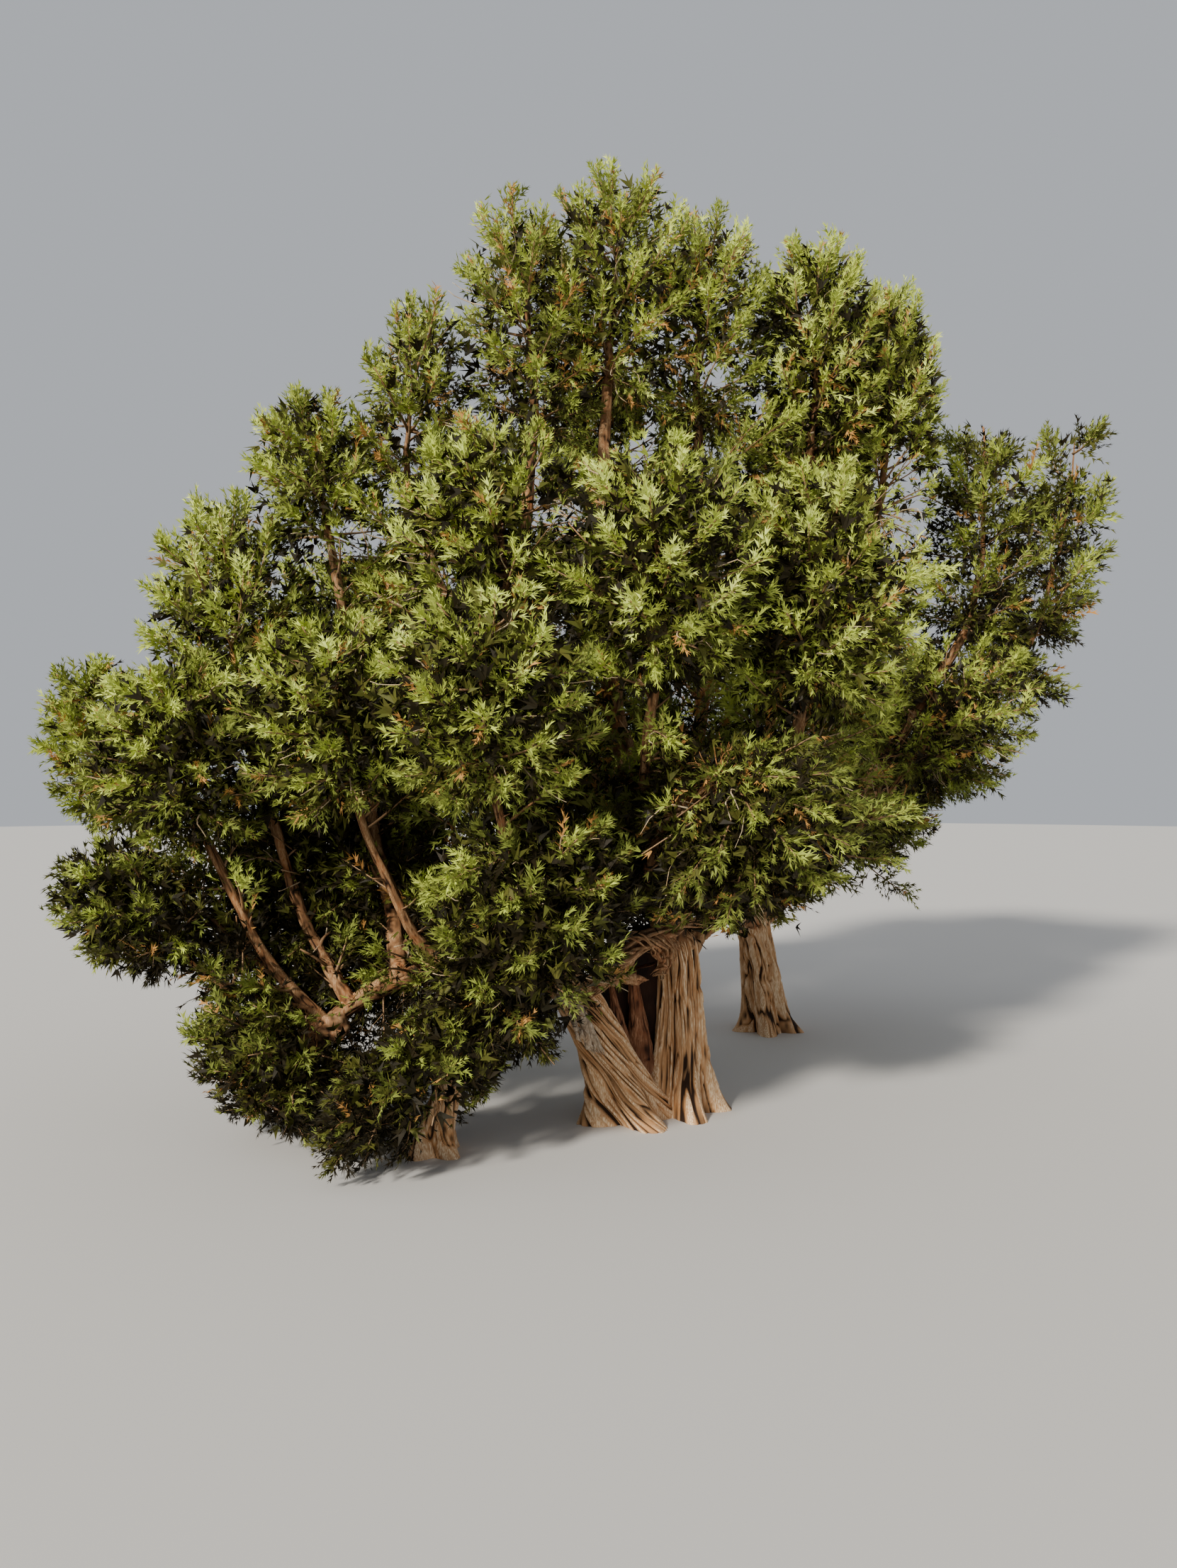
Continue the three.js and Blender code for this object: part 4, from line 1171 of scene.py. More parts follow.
# %% [markdown]
# ## Sprays and sprigs
#
# A branchlet ends in a plume: sprays set round it by the golden angle, wide and long at the bottom and
# short and upright at the tip. A spray is a fine twig with forked sprigs in turn on its two sides. Each
# sprig is a leaf mesh of three faces in the outline of a three-toothed fork, bent so that its teeth catch
# the light differently. All sprays of a mass are worked out together as arrays with one axis for plumes,
# one for sprays and one for sprigs.

# %% Sprays
SPRAYS = 27
SPRAY_LENGTH = 0.27
SPRAY_TAPER = 0.42
PLUME_LENGTH = 0.6
PLUME_START = (0.12, 0.9)
PLUME_CROWDING = 0.9
SPRAY_UNEVENNESS = 0.02
LOWEST_LEAN = 62
LEAN_LOSS = 42
LEAN_SPREAD = 13
SPRAY_RISE = 0.22
RISE_BY_LIFT = 0.5
UPWARDS = np.array([0, 0, 0.5])
SPRAY_SIZES = (0.75, 1.2)
DIM_LIGHT = 0.3
DIM_GROWTH = 1.35
# A direction that next to no branchlet runs along, to start a cross product from.
SPRAY_HELPER = np.array([0.31, 0.17, 0.93])
# How much larger the sprays of the more open masses are.
SPRAY_GROWTH = {
    "far_right_inner": 1.25, "far_right_outer": 1.3, "back_left": 1.15, "back_right_high": 1.15,
    "back_right_low": 1.15, "back_centre_high": 1.15, "back_low": 1.15,
}


def spray_rays(group, random):
    """For each plume, its sprays' roots, directions, sizes and places from 0 at its foot to 1, and which
    are kept. In dim light every other spray is missing and the rest have grown larger."""
    count = len(group["root"])
    share = (np.arange(SPRAYS) + 0.5) / SPRAYS
    share = share + random.uniform(-SPRAY_UNEVENNESS, SPRAY_UNEVENNESS, (count, SPRAYS))
    share = np.clip(share, 0, 1)
    root, pull, tip = (group[key][:, None] for key in ("root", "pull", "tip"))
    length = np.linalg.norm(group["tip"] - group["root"], axis=1)[:, None]
    first = np.clip(1 - PLUME_LENGTH / length, *PLUME_START)
    t = first + (1 - first) * share ** PLUME_CROWDING
    place = curve_points(root, pull, tip, t)
    heading = curve_headings(root, pull, tip, t)
    side = unit(np.cross(heading, SPRAY_HELPER))
    other = np.cross(heading, side)
    turn = (np.arange(SPRAYS) * GOLDEN_ANGLE)[None] + random.uniform(0, 2 * np.pi, (count, 1))
    radial = side * np.cos(turn)[..., None] + other * np.sin(turn)[..., None]
    lean = LOWEST_LEAN - LEAN_LOSS * share + random.normal(0, LEAN_SPREAD, (count, SPRAYS))
    lean = np.radians(lean)[..., None]
    direction = heading * np.cos(lean) + radial * np.sin(lean)
    rise = (SPRAY_RISE + RISE_BY_LIFT * group["lift"])[:, None, None] * UPWARDS
    direction = unit(direction + rise)
    size = random.uniform(*SPRAY_SIZES, (count, SPRAYS))
    dim = (group["light"] < DIM_LIGHT)[:, None]
    growth = np.where(dim, DIM_GROWTH, 1.0) * size
    kept = ~(dim & (np.arange(SPRAYS) % 2 == 1))
    return place, direction, growth, share, kept


def spray_size(share, growth):
    """A spray's length: its plume's foot carries long ones and its tip short ones."""
    return SPRAY_LENGTH * (1 - SPRAY_TAPER * share) * growth


# %% Sprigs
SPRIGS = 7
SPRIG_LENGTH = 0.084
FIRST_SPRIG = 0.14
SPRIG_SPAN = 0.86
FOOT_SIZE = 1.08
SIZE_LOSS = 0.34
SPRIG_SIZES = (0.85, 1.15)
WIDEST_SPREAD = 44
SPREAD_LOSS = 21
SPREAD_CHANCE = 0.12
WAY_CHANCE = 0.12
TILT_CHANCE = 0.6
# A sprig's corners in shares of its length: along it, across it and above it.
SPRIG_CORNERS = np.array([
    [0.0, 0.055, 0.0], [0.0, -0.055, 0.0], [1.0, 0.0, 0.04], [0.66, 0.26, 0.1], [0.8, -0.23, -0.14],
    [0.36, 0.0, 0.05],
])
SPRIG_FACES = np.array([[1, 2, 0], [0, 5, 3], [1, 4, 5]])


def face_up(way, across):
    """Side vectors turned round where the sprig's upper side would look down."""
    return np.where(np.cross(way, across)[..., 2:] >= 0, across, -across)


def sprigs(place, direction, growth, share, random):
    """Roots, ways and side vectors of the sprigs of every spray, in turn on its two sides."""
    shape = (*growth.shape, SPRIGS)
    order = np.arange(SPRIGS)
    along_spray = FIRST_SPRIG + SPRIG_SPAN * order / (SPRIGS - 1)
    size = spray_size(share, growth)
    root = place[..., None, :] + direction[..., None, :] * (size[..., None] * along_spray)[..., None]
    flat = unit(np.cross(direction, random.normal(0, 1, direction.shape)))[..., None, :]
    hand = np.where(order % 2 == 0, 1.0, -1.0) * (order < SPRIGS - 1)
    spread = np.radians(WIDEST_SPREAD - SPREAD_LOSS * along_spray) + random.normal(0, SPREAD_CHANCE, shape)
    ahead = direction[..., None, :]
    way = ahead * np.cos(spread * np.abs(hand))[..., None] + flat * (np.sin(spread) * hand)[..., None]
    way = unit(way + random.normal(0, WAY_CHANCE, (*shape, 3)))
    length = SPRIG_LENGTH * (FOOT_SIZE - SIZE_LOSS * along_spray) * growth[..., None]
    length = length * random.uniform(*SPRIG_SIZES, shape)
    across = unit(np.cross(way, np.cross(ahead, flat) + random.normal(0, TILT_CHANCE, (*shape, 3))))
    return root, way * length[..., None], face_up(way, across)


def forked_sprigs(root, way, across):
    """Corner = root + way * share along + length * (across * share across + normal * share above)."""
    length = np.linalg.norm(way, axis=1)[:, None]
    normal = np.cross(way, across)
    axes = np.stack([way, across * length, normal], 1)
    points = root[:, None] + np.einsum("kc,ncx->nkx", SPRIG_CORNERS, axes)
    starts = np.arange(len(root))[:, None, None] * len(SPRIG_CORNERS)
    return points.reshape(-1, 3), (starts + SPRIG_FACES).reshape(-1, 3)


print("sprays in a plume:", SPRAYS, "sprigs in a spray:", SPRIGS, "faces in a sprig:", len(SPRIG_FACES))

# %% [markdown]
# ## The dark heart
#
# No light comes through an old crown, because dead and half-bare twigs fill its inside. So large sprigs
# stand scattered through each room, painted nearly black as shade, fewest where the sky should show. More
# of them hang where the boughs part above the trunks, or else the sky would shine through the fork.

# %% Inner sprigs
INNER_PER_AREA = 720
INNER_LENGTH = 0.125
INNER_BREADTH = 1.7
INNER_DEEP_SHARE = 0.3
INNER_SIZES = (0.7, 1.2)
INNER_SPAN = (0.02, 1)
INNER_OUTWARDS = 0.5
INNER_UPWARDS = np.array([0, 0, 0.2])
INNER_CHANCE = 0.6
HIDDEN_REACH = 0.97
OPEN_REACH = 0.8
# How many inner sprigs a mass has, as a share of the usual number.
INNER_OPEN = {
    "far_right_inner": 0.15, "far_right_outer": 0.05, "left_high": 0.4, "left_mid": 0.5, "far_left": 0.3,
    "right_low": 0.5, "left_shoulder": 0.3, "top_left": 0.3, "top_right": 0.3, "top_centre": 0.4,
    "back_centre_high": 0.5, "back_right_high": 0.6, "back_left": 0.6, "inner_left": 1.7, "low_left": 1.3,
    "reclining": 1.4, "left_skirt": 1.4, "front_low": 1.9, "front_right_low": 1.6, "centre_high": 1.2,
}
THROAT_SPRIGS = 360
THROAT_SPAN = (0.02, 0.4)
THROAT_SPREAD = 0.26
THROAT_FLATNESS = np.array([1, 1, 0.7])
THROAT_FLOOR = 1.46
THROAT_HEART = (-0.15, 0.3, 1.72)
THROAT_BOUGHS = (
    "top_centre", "top_left", "top_right", "right_shoulder", "left_shoulder", "front_right", "centre_high",
    "front_centre", "front_right_low",
)


def inner_sprigs(name, random):
    """Large old sprigs scattered through the heart of a room, which shut out the light behind them. Their
    dark greens are painted shade.
    """
    room = rooms[name]
    count = int(INNER_PER_AREA * INNER_OPEN.get(name, 1) * np.pi * room["spans"][0] * room["spans"][1])
    direction = unit(random.normal(0, 1, (count, 3)))
    direction = unit((direction * room["spans"]) @ room["basis"])
    reach = reach_towards(room, direction)[:, None]
    hidden = exposure(room, room["centre"] + direction * reach, direction)[:, None] < DIM_LIGHT
    share = np.where(hidden, HIDDEN_REACH, OPEN_REACH) * random.uniform(*INNER_SPAN, (count, 1)) ** 0.5
    root = room["centre"] + direction * reach * share
    way = direction * INNER_OUTWARDS + random.normal(0, INNER_CHANCE, (count, 3)) + INNER_UPWARDS
    way = unit(way)
    across = face_up(way, unit(np.cross(way, random.normal(0, 1, (count, 3)))))
    # Painted shade: most take the nearly black shade green, the rest the deep green.
    green = np.where(random.random(count) < INNER_DEEP_SHARE, 1, 0)
    way = way * random.uniform(*INNER_SIZES, (count, 1)) * INNER_LENGTH
    return root, way, across * INNER_BREADTH, green


def throat_sprigs(name, random):
    """Old sprigs about the foot of a bough, where the limbs part and little light comes through. Every
    third one hangs about one place, the middle of the fork. All take the nearly black green, as painted
    shade."""
    root = along_line(lines[name], random.uniform(*THROAT_SPAN, THROAT_SPRIGS))
    root[::3] = THROAT_HEART
    root = root + random.normal(0, THROAT_SPREAD, root.shape) * THROAT_FLATNESS
    way = unit(random.normal(0, 1, root.shape))
    across = face_up(way, unit(np.cross(way, random.normal(0, 1, root.shape))))
    high = (root + INNER_LENGTH * way)[:, 2] > THROAT_FLOOR
    # Painted shade: every one takes the nearly black shade green.
    return root[high], way[high] * INNER_LENGTH, across[high] * INNER_BREADTH, np.zeros(high.sum(), int)


print("inner sprigs to a square metre of a mass:", INNER_PER_AREA, "round the fork:", THROAT_BOUGHS)

# %% [markdown]
# ## Dealing out the greens
#
# A spray's green depends on where it grows, and much of it is painted light and shade. Sprays in the light,
# on the sunward side and at the ends of flames are painted lighter, the low crown and some whole masses are
# painted darker as shade, tips are the freshest, partly as young growth and partly as painted light, and
# the foot of a plume is darker. Chance makes neighbours differ. The sum is a level, and steps of the level
# are the greens. A few sprays have dried, more of them at the top.

# %% Greens by spray
# Painted light: sprays that face the sun, stand in the light or end a flame get lighter greens, and tips
# get lighter ones partly as young growth and partly as painted light. Painted shade: the low crown gets
# darker ones.
SUNWARD = unit(np.array([-0.4, -0.75, 0.45]))
GREEN_STEPS = (0.16, 0.34, 0.54, 0.74, 0.92)
PLAIN_GREEN = 0.36
FLAME_LIGHT_GAIN = 0.1
SUN_GAIN = 0.2
LIGHT_GAIN = 0.36
TIP_GAIN = 0.44
LOW_CROWN = 3.4
LOW_CROWN_SHADE = 0.5
PLUME_CHANCE = 0.1
SPRAY_CHANCE = 0.13
# Painted shade: whole masses that the light reaches less take darker greens.
MASS_SHADE_SHIFT = {
    "far_right_inner": -0.3, "far_right_outer": -0.3, "right_low": -0.16, "top_left": -0.12,
    "top_right": -0.08, "top_centre": -0.08, "left_shoulder": -0.16, "front_right_low": -0.14,
    "front_low": -0.1, "left_skirt": -0.12, "reclining": -0.1, "low_left": -0.1, "inner_left": -0.1,
    "left_mid": -0.04, "far_left": -0.1, "left_high": -0.14, "back_right_low": -0.08,
}
DRY_SHARE = 0.03
DRY_SHARES = {
    "top_left": 0.07, "top_right": 0.07, "top_centre": 0.07, "left_shoulder": 0.06, "right_shoulder": 0.06,
    "right_crest": 0.06,
}


def spray_greens(name, group, share, random):
    """A green for each spray, from shade to fresh: painted light and shade by its light and place, and
    chance.
    """
    sunny = (group["direction"] @ SUNWARD)[:, None]
    low = np.clip((LOW_CROWN - group["tip"][:, 2:]) / LOW_CROWN, 0, 1)
    # Painted light and shade: flame ends, the sunward side and sprays in the light are lighter, the low
    # crown and the shaded masses darker.
    level = PLAIN_GREEN + MASS_SHADE_SHIFT.get(name, 0) + FLAME_LIGHT_GAIN * group["flame"][:, None]
    level = level - LOW_CROWN_SHADE * low + SUN_GAIN * sunny
    level = level + LIGHT_GAIN * (group["light"][:, None] - 0.5) + TIP_GAIN * (share - 0.5)
    level = level + random.normal(0, PLUME_CHANCE, (len(share), 1))
    level = level + random.normal(0, SPRAY_CHANCE, share.shape)
    green = np.digitize(level, GREEN_STEPS)
    dry = random.random(share.shape) < DRY_SHARES.get(name, DRY_SHARE)
    return np.where(dry, len(GREENS) - 1, green)


print("levels that part the greens:", GREEN_STEPS)

# %% [markdown]
# ## The leaves as pieces
#
# A sprig that would leave its room, sink to the ground or touch a limb is dropped. Only the sprigs of side
# shoots may stand outside rooms. What is left is joined by regions of the crown into nine pieces, and each
# face takes its spray's green. The ends of leafy sprays in the light are noted for the twigs under them.

# %% Outer sprigs
TOUCH_SHARE = 0.6
LEAFY = 4
TWIG_LIGHT = 0.6


def outer_sprigs(name, random):
    """The kept sprigs of a mass's sprays with their greens, and both ends of the twigs under them."""
    room, group = rooms[name], plumes[name]
    place, direction, growth, share, spray_kept = spray_rays(group, random)
    growth = growth * SPRAY_GROWTH.get(name, 1)
    root, way, across = (part.reshape(-1, 3) for part in sprigs(place, direction, growth, share, random))
    green = np.repeat(spray_greens(name, group, share, random).ravel(), SPRIGS)
    free = np.repeat(group["shoot"], SPRAYS * SPRIGS)
    kept = np.repeat(spray_kept.ravel(), SPRIGS)
    kept[kept] = (is_inside(room, root[kept]) & is_inside(room, (root + way)[kept])) | free[kept]
    kept[kept] = (root + way)[kept][:, 2] > GROUND_GAP
    kept[kept] = off_limbs(room, (root + TOUCH_SHARE * way)[kept], random)
    leafy = (kept.reshape(-1, SPRIGS).sum(1) > LEAFY) & np.repeat(group["light"] > TWIG_LIGHT, SPRAYS)
    leafy &= np.arange(len(leafy)) % 2 == 0
    ends = (place + direction * spray_size(share, growth)[..., None]).reshape(-1, 3)
    twigs = place.reshape(-1, 3)[leafy], ends[leafy]
    return (root[kept], way[kept], across[kept], green[kept]), twigs


def clear_sprigs(room, parts, wanted, random):
    """Those of the wanted inner sprigs that stand clear of the limbs."""
    wanted[wanted] = off_limbs(room, (parts[0] + TOUCH_SHARE * parts[1])[wanted], random)
    return tuple(part[wanted] for part in parts)


# %% Leaf pieces
REGIONS = {
    "top_leaves": ("top_centre", "top_left", "top_right", "left_shoulder"),
    "right_top_leaves": ("right_shoulder", "right_crest", "front_right", "front_right_low"),
    "front_leaves": ("centre_high", "front_left", "front_centre", "front_low"),
    "left_leaves": ("mid_left", "left_high", "left_mid", "left_low", "far_left"),
    "low_left_leaves": ("low_left", "reclining", "left_skirt", "inner_left"),
    "far_right_leaves": ("far_right_inner", "far_right_outer", "right_low"),
    "back_left_leaves": ("back_left", "back_low"),
    "back_right_leaves": ("back_right_high", "back_right_low"),
    "back_top_leaves": ("back_centre_high",),
}

spray_ends = []
for piece_name, members in REGIONS.items():
    leaf_parts = []
    for name in members:
        room = rooms[name]
        random = np.random.default_rng(2000 + list(rooms).index(name))
        outer, twigs = outer_sprigs(name, random)
        leaf_parts.append(outer)
        spray_ends.append(twigs)
        inner = inner_sprigs(name, random)
        leaf_parts.append(clear_sprigs(room, inner, is_inside(room, inner[0] + inner[1]), random))
        if name in THROAT_BOUGHS:
            throat = throat_sprigs(name, random)
            leaf_parts.append(clear_sprigs(room, throat, np.ones(len(throat[0]), bool), random))
    *shape, green = (np.concatenate(part) for part in zip(*leaf_parts))
    points, faces = forked_sprigs(*shape)
    piece = make_piece(piece_name, points, [faces], leaf_materials, np.repeat(green, len(SPRIG_FACES)))
    finish_piece(piece, "foliage", *(f"{name}_foliage" for name in members))

# %% [markdown]
# ## The fine twigs of the sprays
#
# Under the sprigs of every other leafy spray in the light lies a twig about four millimetres thick. A long
# thin spike of four faces is enough, and it ties the sprigs to the branchlet.

# %% Fine twigs
TWIG_HALF = 0.0022
TWIG_RELIEF = 0.6
TWIG_HELPER = np.array([[0.3, 0.2, 0.9]])
SPIKE_FACES = np.array([[0, 1, 3], [1, 2, 3], [2, 0, 3], [2, 1, 0]])

twig_root, twig_tip = (np.concatenate(part) for part in zip(*spray_ends))
heading = unit(twig_tip - twig_root)
first = unit(np.cross(heading, TWIG_HELPER))
second = np.cross(heading, first)
corners = [twig_root + TWIG_HALF * (np.cos(angle) * first + np.sin(angle) * second)
           for angle in np.radians((0, 120, 240))]
spike_points = np.stack([*corners, twig_tip], 1).reshape(-1, 3)
spike_faces = (np.arange(len(twig_root))[:, None, None] * 4 + SPIKE_FACES).reshape(-1, 3)
spikes = make_piece("spray_twigs", spike_points, [spike_faces], [woods["twig_bark"]],
                    relief=np.full(len(spike_points), TWIG_RELIEF))
finish_piece(spikes, "bough_bark")

# %% [markdown]
# ## Bare twigs
#
# An old juniper keeps its dead twigs for decades. Pale ones hang out of the foliage in thin curves. Each
# starts somewhere along a branchlet in the light, swings aside and sags, and is no longer than an arm.

# %% Bare twigs
BARE_TWIGS = 1200
BARE_TWIG_LIGHT = 0.45
BARE_TWIG_FLOOR = 1.0
BARE_TWIG_REACH = 0.5
BARE_TWIG_START = (0.3, 0.7)
BARE_TWIG_HALF = (0.005, 0.009)
BARE_TWIG_THINNING = 0.65
BARE_TWIG_SIZES = (0.7, 1.06)
TWIG_SWING = 0.35
TWIG_BEND = 0.36
TWIG_WAVER = 0.006
TWIG_SAG = np.array([0, 0, 0.12])
TWIG_ARCH = np.array([0, 0, 0.2])

random = np.random.default_rng(71)
lit = np.concatenate([group["light"] for group in plumes.values()]) > BARE_TWIG_LIGHT
source = random.choice(np.flatnonzero(lit & (all_tips[:, 2] > BARE_TWIG_FLOOR)), BARE_TWIGS)
share = random.uniform(*BARE_TWIG_START, BARE_TWIGS)
twig_start = curve_points(all_roots[source], all_pulls[source], all_tips[source], share)
outward = unit(all_tips[source] - twig_start)
swing = unit(np.cross(outward, random.normal(0, 1, (BARE_TWIGS, 3))))
twig_length = np.linalg.norm(all_tips[source] - twig_start, axis=1)[:, None]
twig_size = random.uniform(*BARE_TWIG_SIZES, (BARE_TWIGS, 1))
twig_length = np.minimum(twig_length, BARE_TWIG_REACH) * twig_size
twig_end = twig_start + unit(outward + TWIG_SWING * swing - TWIG_SAG) * twig_length
twig_pull = (twig_start + twig_end) / 2 + twig_length * (TWIG_BEND * swing + TWIG_ARCH)
bare_t = np.linspace(0, 1, 6)
bare_paths = curve_points(twig_start[:, None], twig_pull[:, None], twig_end[:, None], bare_t)
bare_paths += random.normal(0, TWIG_WAVER, bare_paths.shape) * bare_t[None, :, None]
bare_radii = random.uniform(*BARE_TWIG_HALF, BARE_TWIGS)[:, None] * (1 - BARE_TWIG_THINNING * bare_t)
make_woody("bare_twigs", [tubes(bare_paths, bare_radii, 3)], "bare_twig_bark", 7)

# %% [markdown]
# ## Stubs and knots
#
# Broken stubs stand along the boughs, and where limbs were lost the wood has healed into knotted lumps with
# short orange-brown twigs round them.

# %% Broken stubs
STUBS = 90
STUB_SPAN = (0.06, 0.9)
STUB_LENGTH = (0.05, 0.24)
STUB_SHARE = (0.25, 0.42)
STUB_THINNING = 0.6
STUB_FORWARD = 0.5
STUB_LIFT = np.array([0, 0, 0.2])
STUB_BEND = 0.03

stub_t = np.linspace(0, 1, 5)
stub_paths, stub_radii = [], []
for name in random.choice([name for name in BOUGHS if name != "arch"], STUBS):
    t = random.uniform(*STUB_SPAN)
    centre, heading = along_line(lines[name], t), line_headings(lines[name], t)
    radius = taper(BOUGHS[name].girth, t)
    away = unit(np.cross(heading, random.normal(0, 1, 3)))
    end = centre + (away + STUB_FORWARD * heading + STUB_LIFT) * (radius + random.uniform(*STUB_LENGTH))
    pull = (centre + end) / 2 + STUB_BEND * random.normal(0, 1, 3)
    stub_paths.append(curve_points(centre, pull, end, stub_t))
    stub_radii.append(random.uniform(*STUB_SHARE) * radius * (1 - STUB_THINNING * stub_t))
make_woody("broken_stubs", [tubes(np.array(stub_paths), np.array(stub_radii), 7)], "dead_wood", 8)

# %% Knots
KNOT_SIDES = 48
KNOT_RINGS = 30
POLE_GAP = 0.05
KNOT_CORE = 0.65
KNOT_LUMPS = 0.7
KNOT_GRAIN = 0.14
# Each knot's centre and size, and the number and reach of the dry twigs round it.
KNOTS = {
    "burl_knot": ((0.43, -1.07, 2.64), 0.085, 90, 0.34),
    "hub_knot": ((-2.5, -0.66, 0.74), 0.13, 60, 0.3),
    "hub_side_knot": ((-2.36, -0.72, 0.82), 0.1, 0, 0),
    "limb_knot": ((0.2, -0.9, 2.42), 0.06, 30, 0.22),
}


def knotted_lump(centre, size, seed):
    """A ball whose radius swells with noise: size (core + lumps noise + a little grain), as rings from
    bottom to top."""
    angle = np.linspace(0, 2 * np.pi, KNOT_SIDES, endpoint=False)[None, :]
    polar = np.linspace(-np.pi / 2 + POLE_GAP, np.pi / 2 - POLE_GAP, KNOT_RINGS)[:, None]
    around, along = angle / (2 * np.pi) + 0 * polar, (polar + np.pi / 2) / np.pi + 0 * angle
    swell = noise_round(around, along, 6, 4, seed)
    grain = noise_round(around, along, 18, 12, seed + 1)
    radius = size * (KNOT_CORE + KNOT_LUMPS * swell + KNOT_GRAIN * (grain - 0.5))
    level = radius * np.cos(polar)
    rings = np.stack([level * np.cos(angle), level * np.sin(angle), radius * np.sin(polar)], -1) + centre
    return rings, np.clip(grain + 0.5 * (swell - 0.5), 0, 1)


for number, (name, (centre, size, *_)) in enumerate(KNOTS.items()):
    surface = knotted_lump(np.array(centre), size, 300 + 10 * number)
    finish_piece(make_ringed(name, *surface, "dead_wood"), "bough_bark")

# %% Dry twigs
DRY_TWIG_HALF = (0.004, 0.008)
DRY_TWIG_THINNING = 0.7
DRY_TWIG_SIZES = (0.5, 1)
DRY_TWIG_BEND = 0.05
DRY_TWIG_LEAN = np.array([0, -0.5, 0.1])

dry_parts = []
for centre, _, count, reach in KNOTS.values():
    if not count:
        continue
    centre = np.array(centre)
    way = unit(random.normal(0, 1, (count, 3)) + DRY_TWIG_LEAN)
    dry_end = centre + way * reach * random.uniform(*DRY_TWIG_SIZES, (count, 1))
    dry_pull = centre + 0.5 * (dry_end - centre) + random.normal(0, DRY_TWIG_BEND, (count, 3))
    dry_paths = curve_points(np.full((count, 1, 3), centre), dry_pull[:, None], dry_end[:, None], bare_t)
    dry_radii = random.uniform(*DRY_TWIG_HALF, (count, 1)) * (1 - DRY_TWIG_THINNING * bare_t)
    dry_parts.append(tubes(dry_paths, dry_radii, 4))
make_woody("dry_twigs", dry_parts, "dry_twig_bark", 9)

# %% [markdown]
# ## Dead wood between the stems
#
# The two stems of the main trunk part above the root, and in the hollow between them stand the weathered
# reddish boards of the old heart. Twisted strands of dead wood lie across its top and run on towards the
# arching limb, and a grey snag clings to the side of the leaning stem.

# %% Boards in the hollow
BOARD_SIDES = 64
BOARD_RINGS = 56
BOARD_SHARES = (1, 0.9, 0.55, 0.12)
BACK_SHARES = (0.45, 0.75, 1.0, 0.85)
# The last board closes the back of the hollow. No light gets there, so nearly all its relief is furrow.
HOLLOW_SHADE = 0.1
BOARD_TURN = 0.48
BOARD_EDGE = 0.7
BOARD_RAGGEDNESS = 0.3
BOARD_RELIEF = 0.012
BOARD_SKEW = 0.35
# Each board's foot, tip, half breadth, half thickness and shares of its breadth from foot to tip.
BOARDS = (
    ((-0.05, -0.06, 0.15), (-0.16, -0.13, 1.25), 0.11, 0.045, BOARD_SHARES),
    ((-0.16, -0.12, 0.2), (-0.33, -0.25, 1.1), 0.08, 0.042, BOARD_SHARES),
    ((-0.38, -0.26, 1.12), (0.0, -0.2, 1.2), 0.05, 0.036, BACK_SHARES),
    ((0.02, 0.08, 0.1), (-0.2, -0.02, 1.4), 0.34, 0.05, BACK_SHARES),
)


def board_surface(foot, tip, breadth, thickness, shares, seed):
    """A flat rounded section, breadth cos a by thickness sin a, that narrows to a ragged tip."""
    t = np.linspace(0, 1, BOARD_RINGS)[:, None]
    angle = np.linspace(0, 2 * np.pi, BOARD_SIDES, endpoint=False)[None, :]
    share = np.interp(t, np.linspace(0, 1, len(shares)), shares)
    around, along = angle / (2 * np.pi) + 0 * t, t + 0 * angle
    relief = bark_relief(around, along, 16, 3, seed)
    ragged = noise_round(around, along, 9, 14, seed + 9) - 0.5
    wide = np.sign(np.cos(angle)) * np.abs(np.cos(angle)) ** BOARD_EDGE * breadth * share
    wide = wide * (1 + BOARD_RAGGEDNESS * ragged)
    deep = np.sin(angle) * (thickness * (0.5 + 0.5 * share) + BOARD_RELIEF * (relief - RELIEF_MIDDLE))
    turn = BOARD_TURN * t
    centre = np.asarray(foot) + (np.asarray(tip) - foot) * t[..., None]
    forward = np.sin(turn) * wide + np.cos(turn) * deep
    across = np.stack([np.cos(turn) * wide - np.sin(turn) * deep, forward, BOARD_SKEW * wide * t], -1)
    return centre + across, relief


for number, board in enumerate(BOARDS):
    rings, relief = board_surface(*board, 400 + 20 * number)
    if number == len(BOARDS) - 1:
        relief = relief * HOLLOW_SHADE
    board_piece = make_ringed(f"hollow_board_{number + 1}", rings, relief, "red_wood")
    finish_piece(board_piece, "trunk_bark", "main_trunk")

# %% Twisted strands
STRAND_SIDES = 9
STRAND_RINGS = 44
STRAND_WINDINGS = (0.6, 1.3)
STRAND_SPREADS = (0.5, 1.3)
STRAND_SWELL = 0.25
STRAND_SWELL_WAVES = 7
STRAND_WAVER = 0.0022
STRAND_END = 0.12
STRAND_END_SLOPE = 5
STRAND_KNOTS = 0.25
STRAND_KNOT_WAVES = (15, 40)
STRAND_SIZES = (0.5, 1.3)
STRAND_HELPER = np.array([0.2, 0.1, 0.97])


def smooth_path(places, count):
    """A path through places. From b to c, with a before them and d after, it is
    (2b + (c-a)t + (2a-5b+4c-d)t^2 + (3b-a-3c+d)t^3) / 2."""
    places = np.asarray(places, float)
    padded = np.vstack([2 * places[0] - places[1], places, 2 * places[-1] - places[-2]])
    place = np.linspace(0, len(places) - 1 - 1e-6, count)
    step = place.astype(int)
    t = (place - step)[:, None]
    a, b, c, d = (padded[step + shift] for shift in range(4))
    square_part = (2 * a - 5 * b + 4 * c - d) * t ** 2
    cube_part = (3 * b - a - 3 * c + d) * t ** 3
    return 0.5 * (2 * b + (c - a) * t + square_part + cube_part)


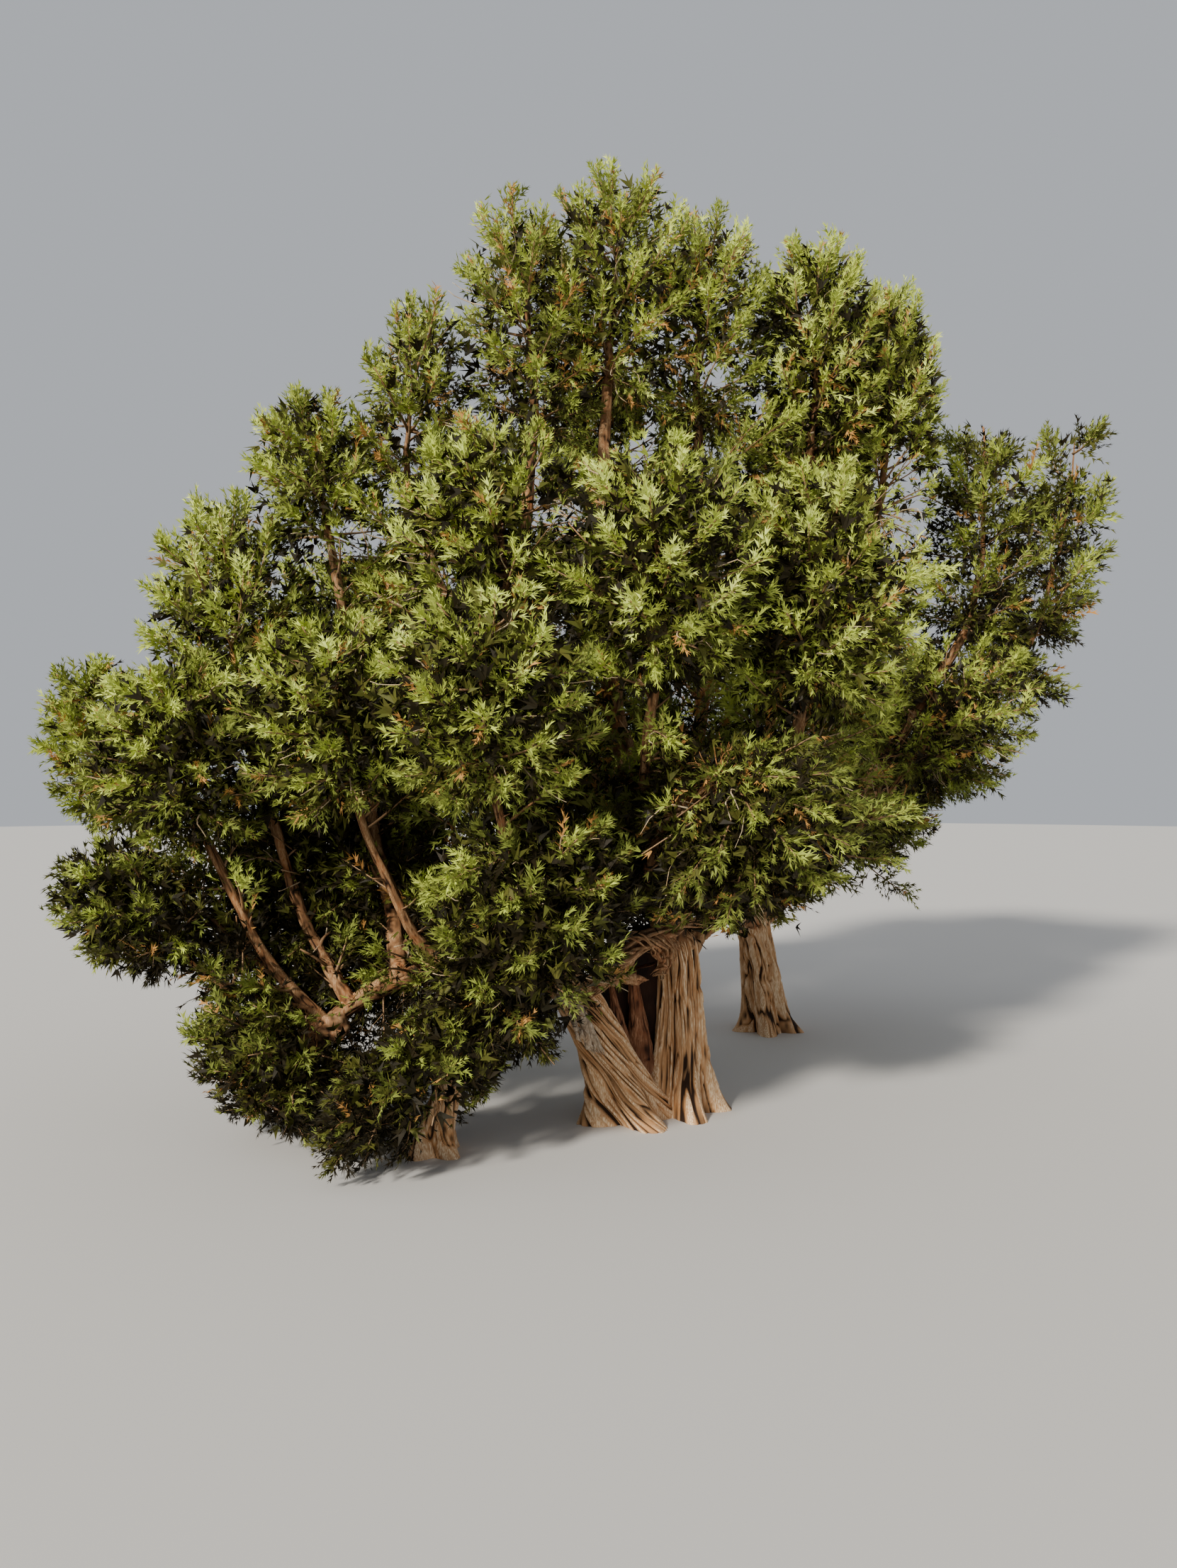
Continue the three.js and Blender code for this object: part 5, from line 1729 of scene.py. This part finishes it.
def wound_strands(places, spread, count, winding, thickness, seed):
    """Strands wound round a path: path + spread (first cos a + second sin a), a being phase + winding t."""
    random = np.random.default_rng(seed)
    t = np.linspace(0, 1, STRAND_RINGS)
    path = smooth_path(places, len(t))
    heading = unit(np.gradient(path, axis=0))
    first = unit(np.cross(heading, STRAND_HELPER))
    second = np.cross(heading, first)
    phase = random.uniform(0, 2 * np.pi, (count, 1))
    angle = phase + winding * random.uniform(*STRAND_WINDINGS, (count, 1)) * t
    swell = 1 - STRAND_SWELL + STRAND_SWELL * np.sin(STRAND_SWELL_WAVES * t + angle)
    away = spread * random.uniform(*STRAND_SPREADS, (count, 1)) * swell
    points = path + first * (away * np.cos(angle))[..., None] + second * (away * np.sin(angle))[..., None]
    points = points + np.cumsum(random.normal(0, STRAND_WAVER, points.shape), axis=1)
    ends = np.clip(np.minimum(t, 1 - t) * STRAND_END_SLOPE, STRAND_END, 1)
    knots = 1 + STRAND_KNOTS * np.sin(random.uniform(*STRAND_KNOT_WAVES, (count, 1)) * t)
    half = thickness * random.uniform(*STRAND_SIZES, (count, 1)) * ends * knots
    return tubes(points, half, STRAND_SIDES)


# Each bundle: the places it runs through, its spread, strands, winding, half thickness and seed.
strand_parts = [
    wound_strands([(-0.52, -0.56, 1.06), (-0.32, -0.54, 1.2), (-0.1, -0.42, 1.36), (0.12, -0.28, 1.48),
                   (0.38, -0.1, 1.54)], 0.075, 14, 5.5, 0.02, 51),
    wound_strands([(-0.34, -0.52, 1.32), (-0.12, -0.44, 1.4), (0.08, -0.32, 1.38), (0.2, -0.2, 1.28)],
                  0.09, 12, 7.5, 0.013, 52),
    wound_strands([(-0.02, -0.3, 1.34), (0.1, -0.28, 1.22), (0.02, -0.3, 1.12)], 0.04, 7, 6, 0.011, 53),
    wound_strands([(-0.5, -0.5, 1.08), (-0.26, -0.42, 1.12), (-0.06, -0.28, 1.1)], 0.03, 6, 2.5, 0.022, 56),
]
make_woody("twisted_dead_wood", strand_parts, "dead_wood", 10)
snag_parts = [
    wound_strands([(-0.76, -0.72, 1.14), (-0.6, -0.74, 0.98), (-0.5, -0.7, 0.8), (-0.4, -0.62, 0.6)],
                  0.035, 8, 5, 0.02, 54),
    wound_strands([(-0.62, -0.76, 0.95), (-0.58, -0.82, 0.84), (-0.52, -0.78, 0.72)],
                  0.03, 5, 7, 0.011, 55),
]
make_woody("grey_snag", snag_parts, "grey_wood", 11)
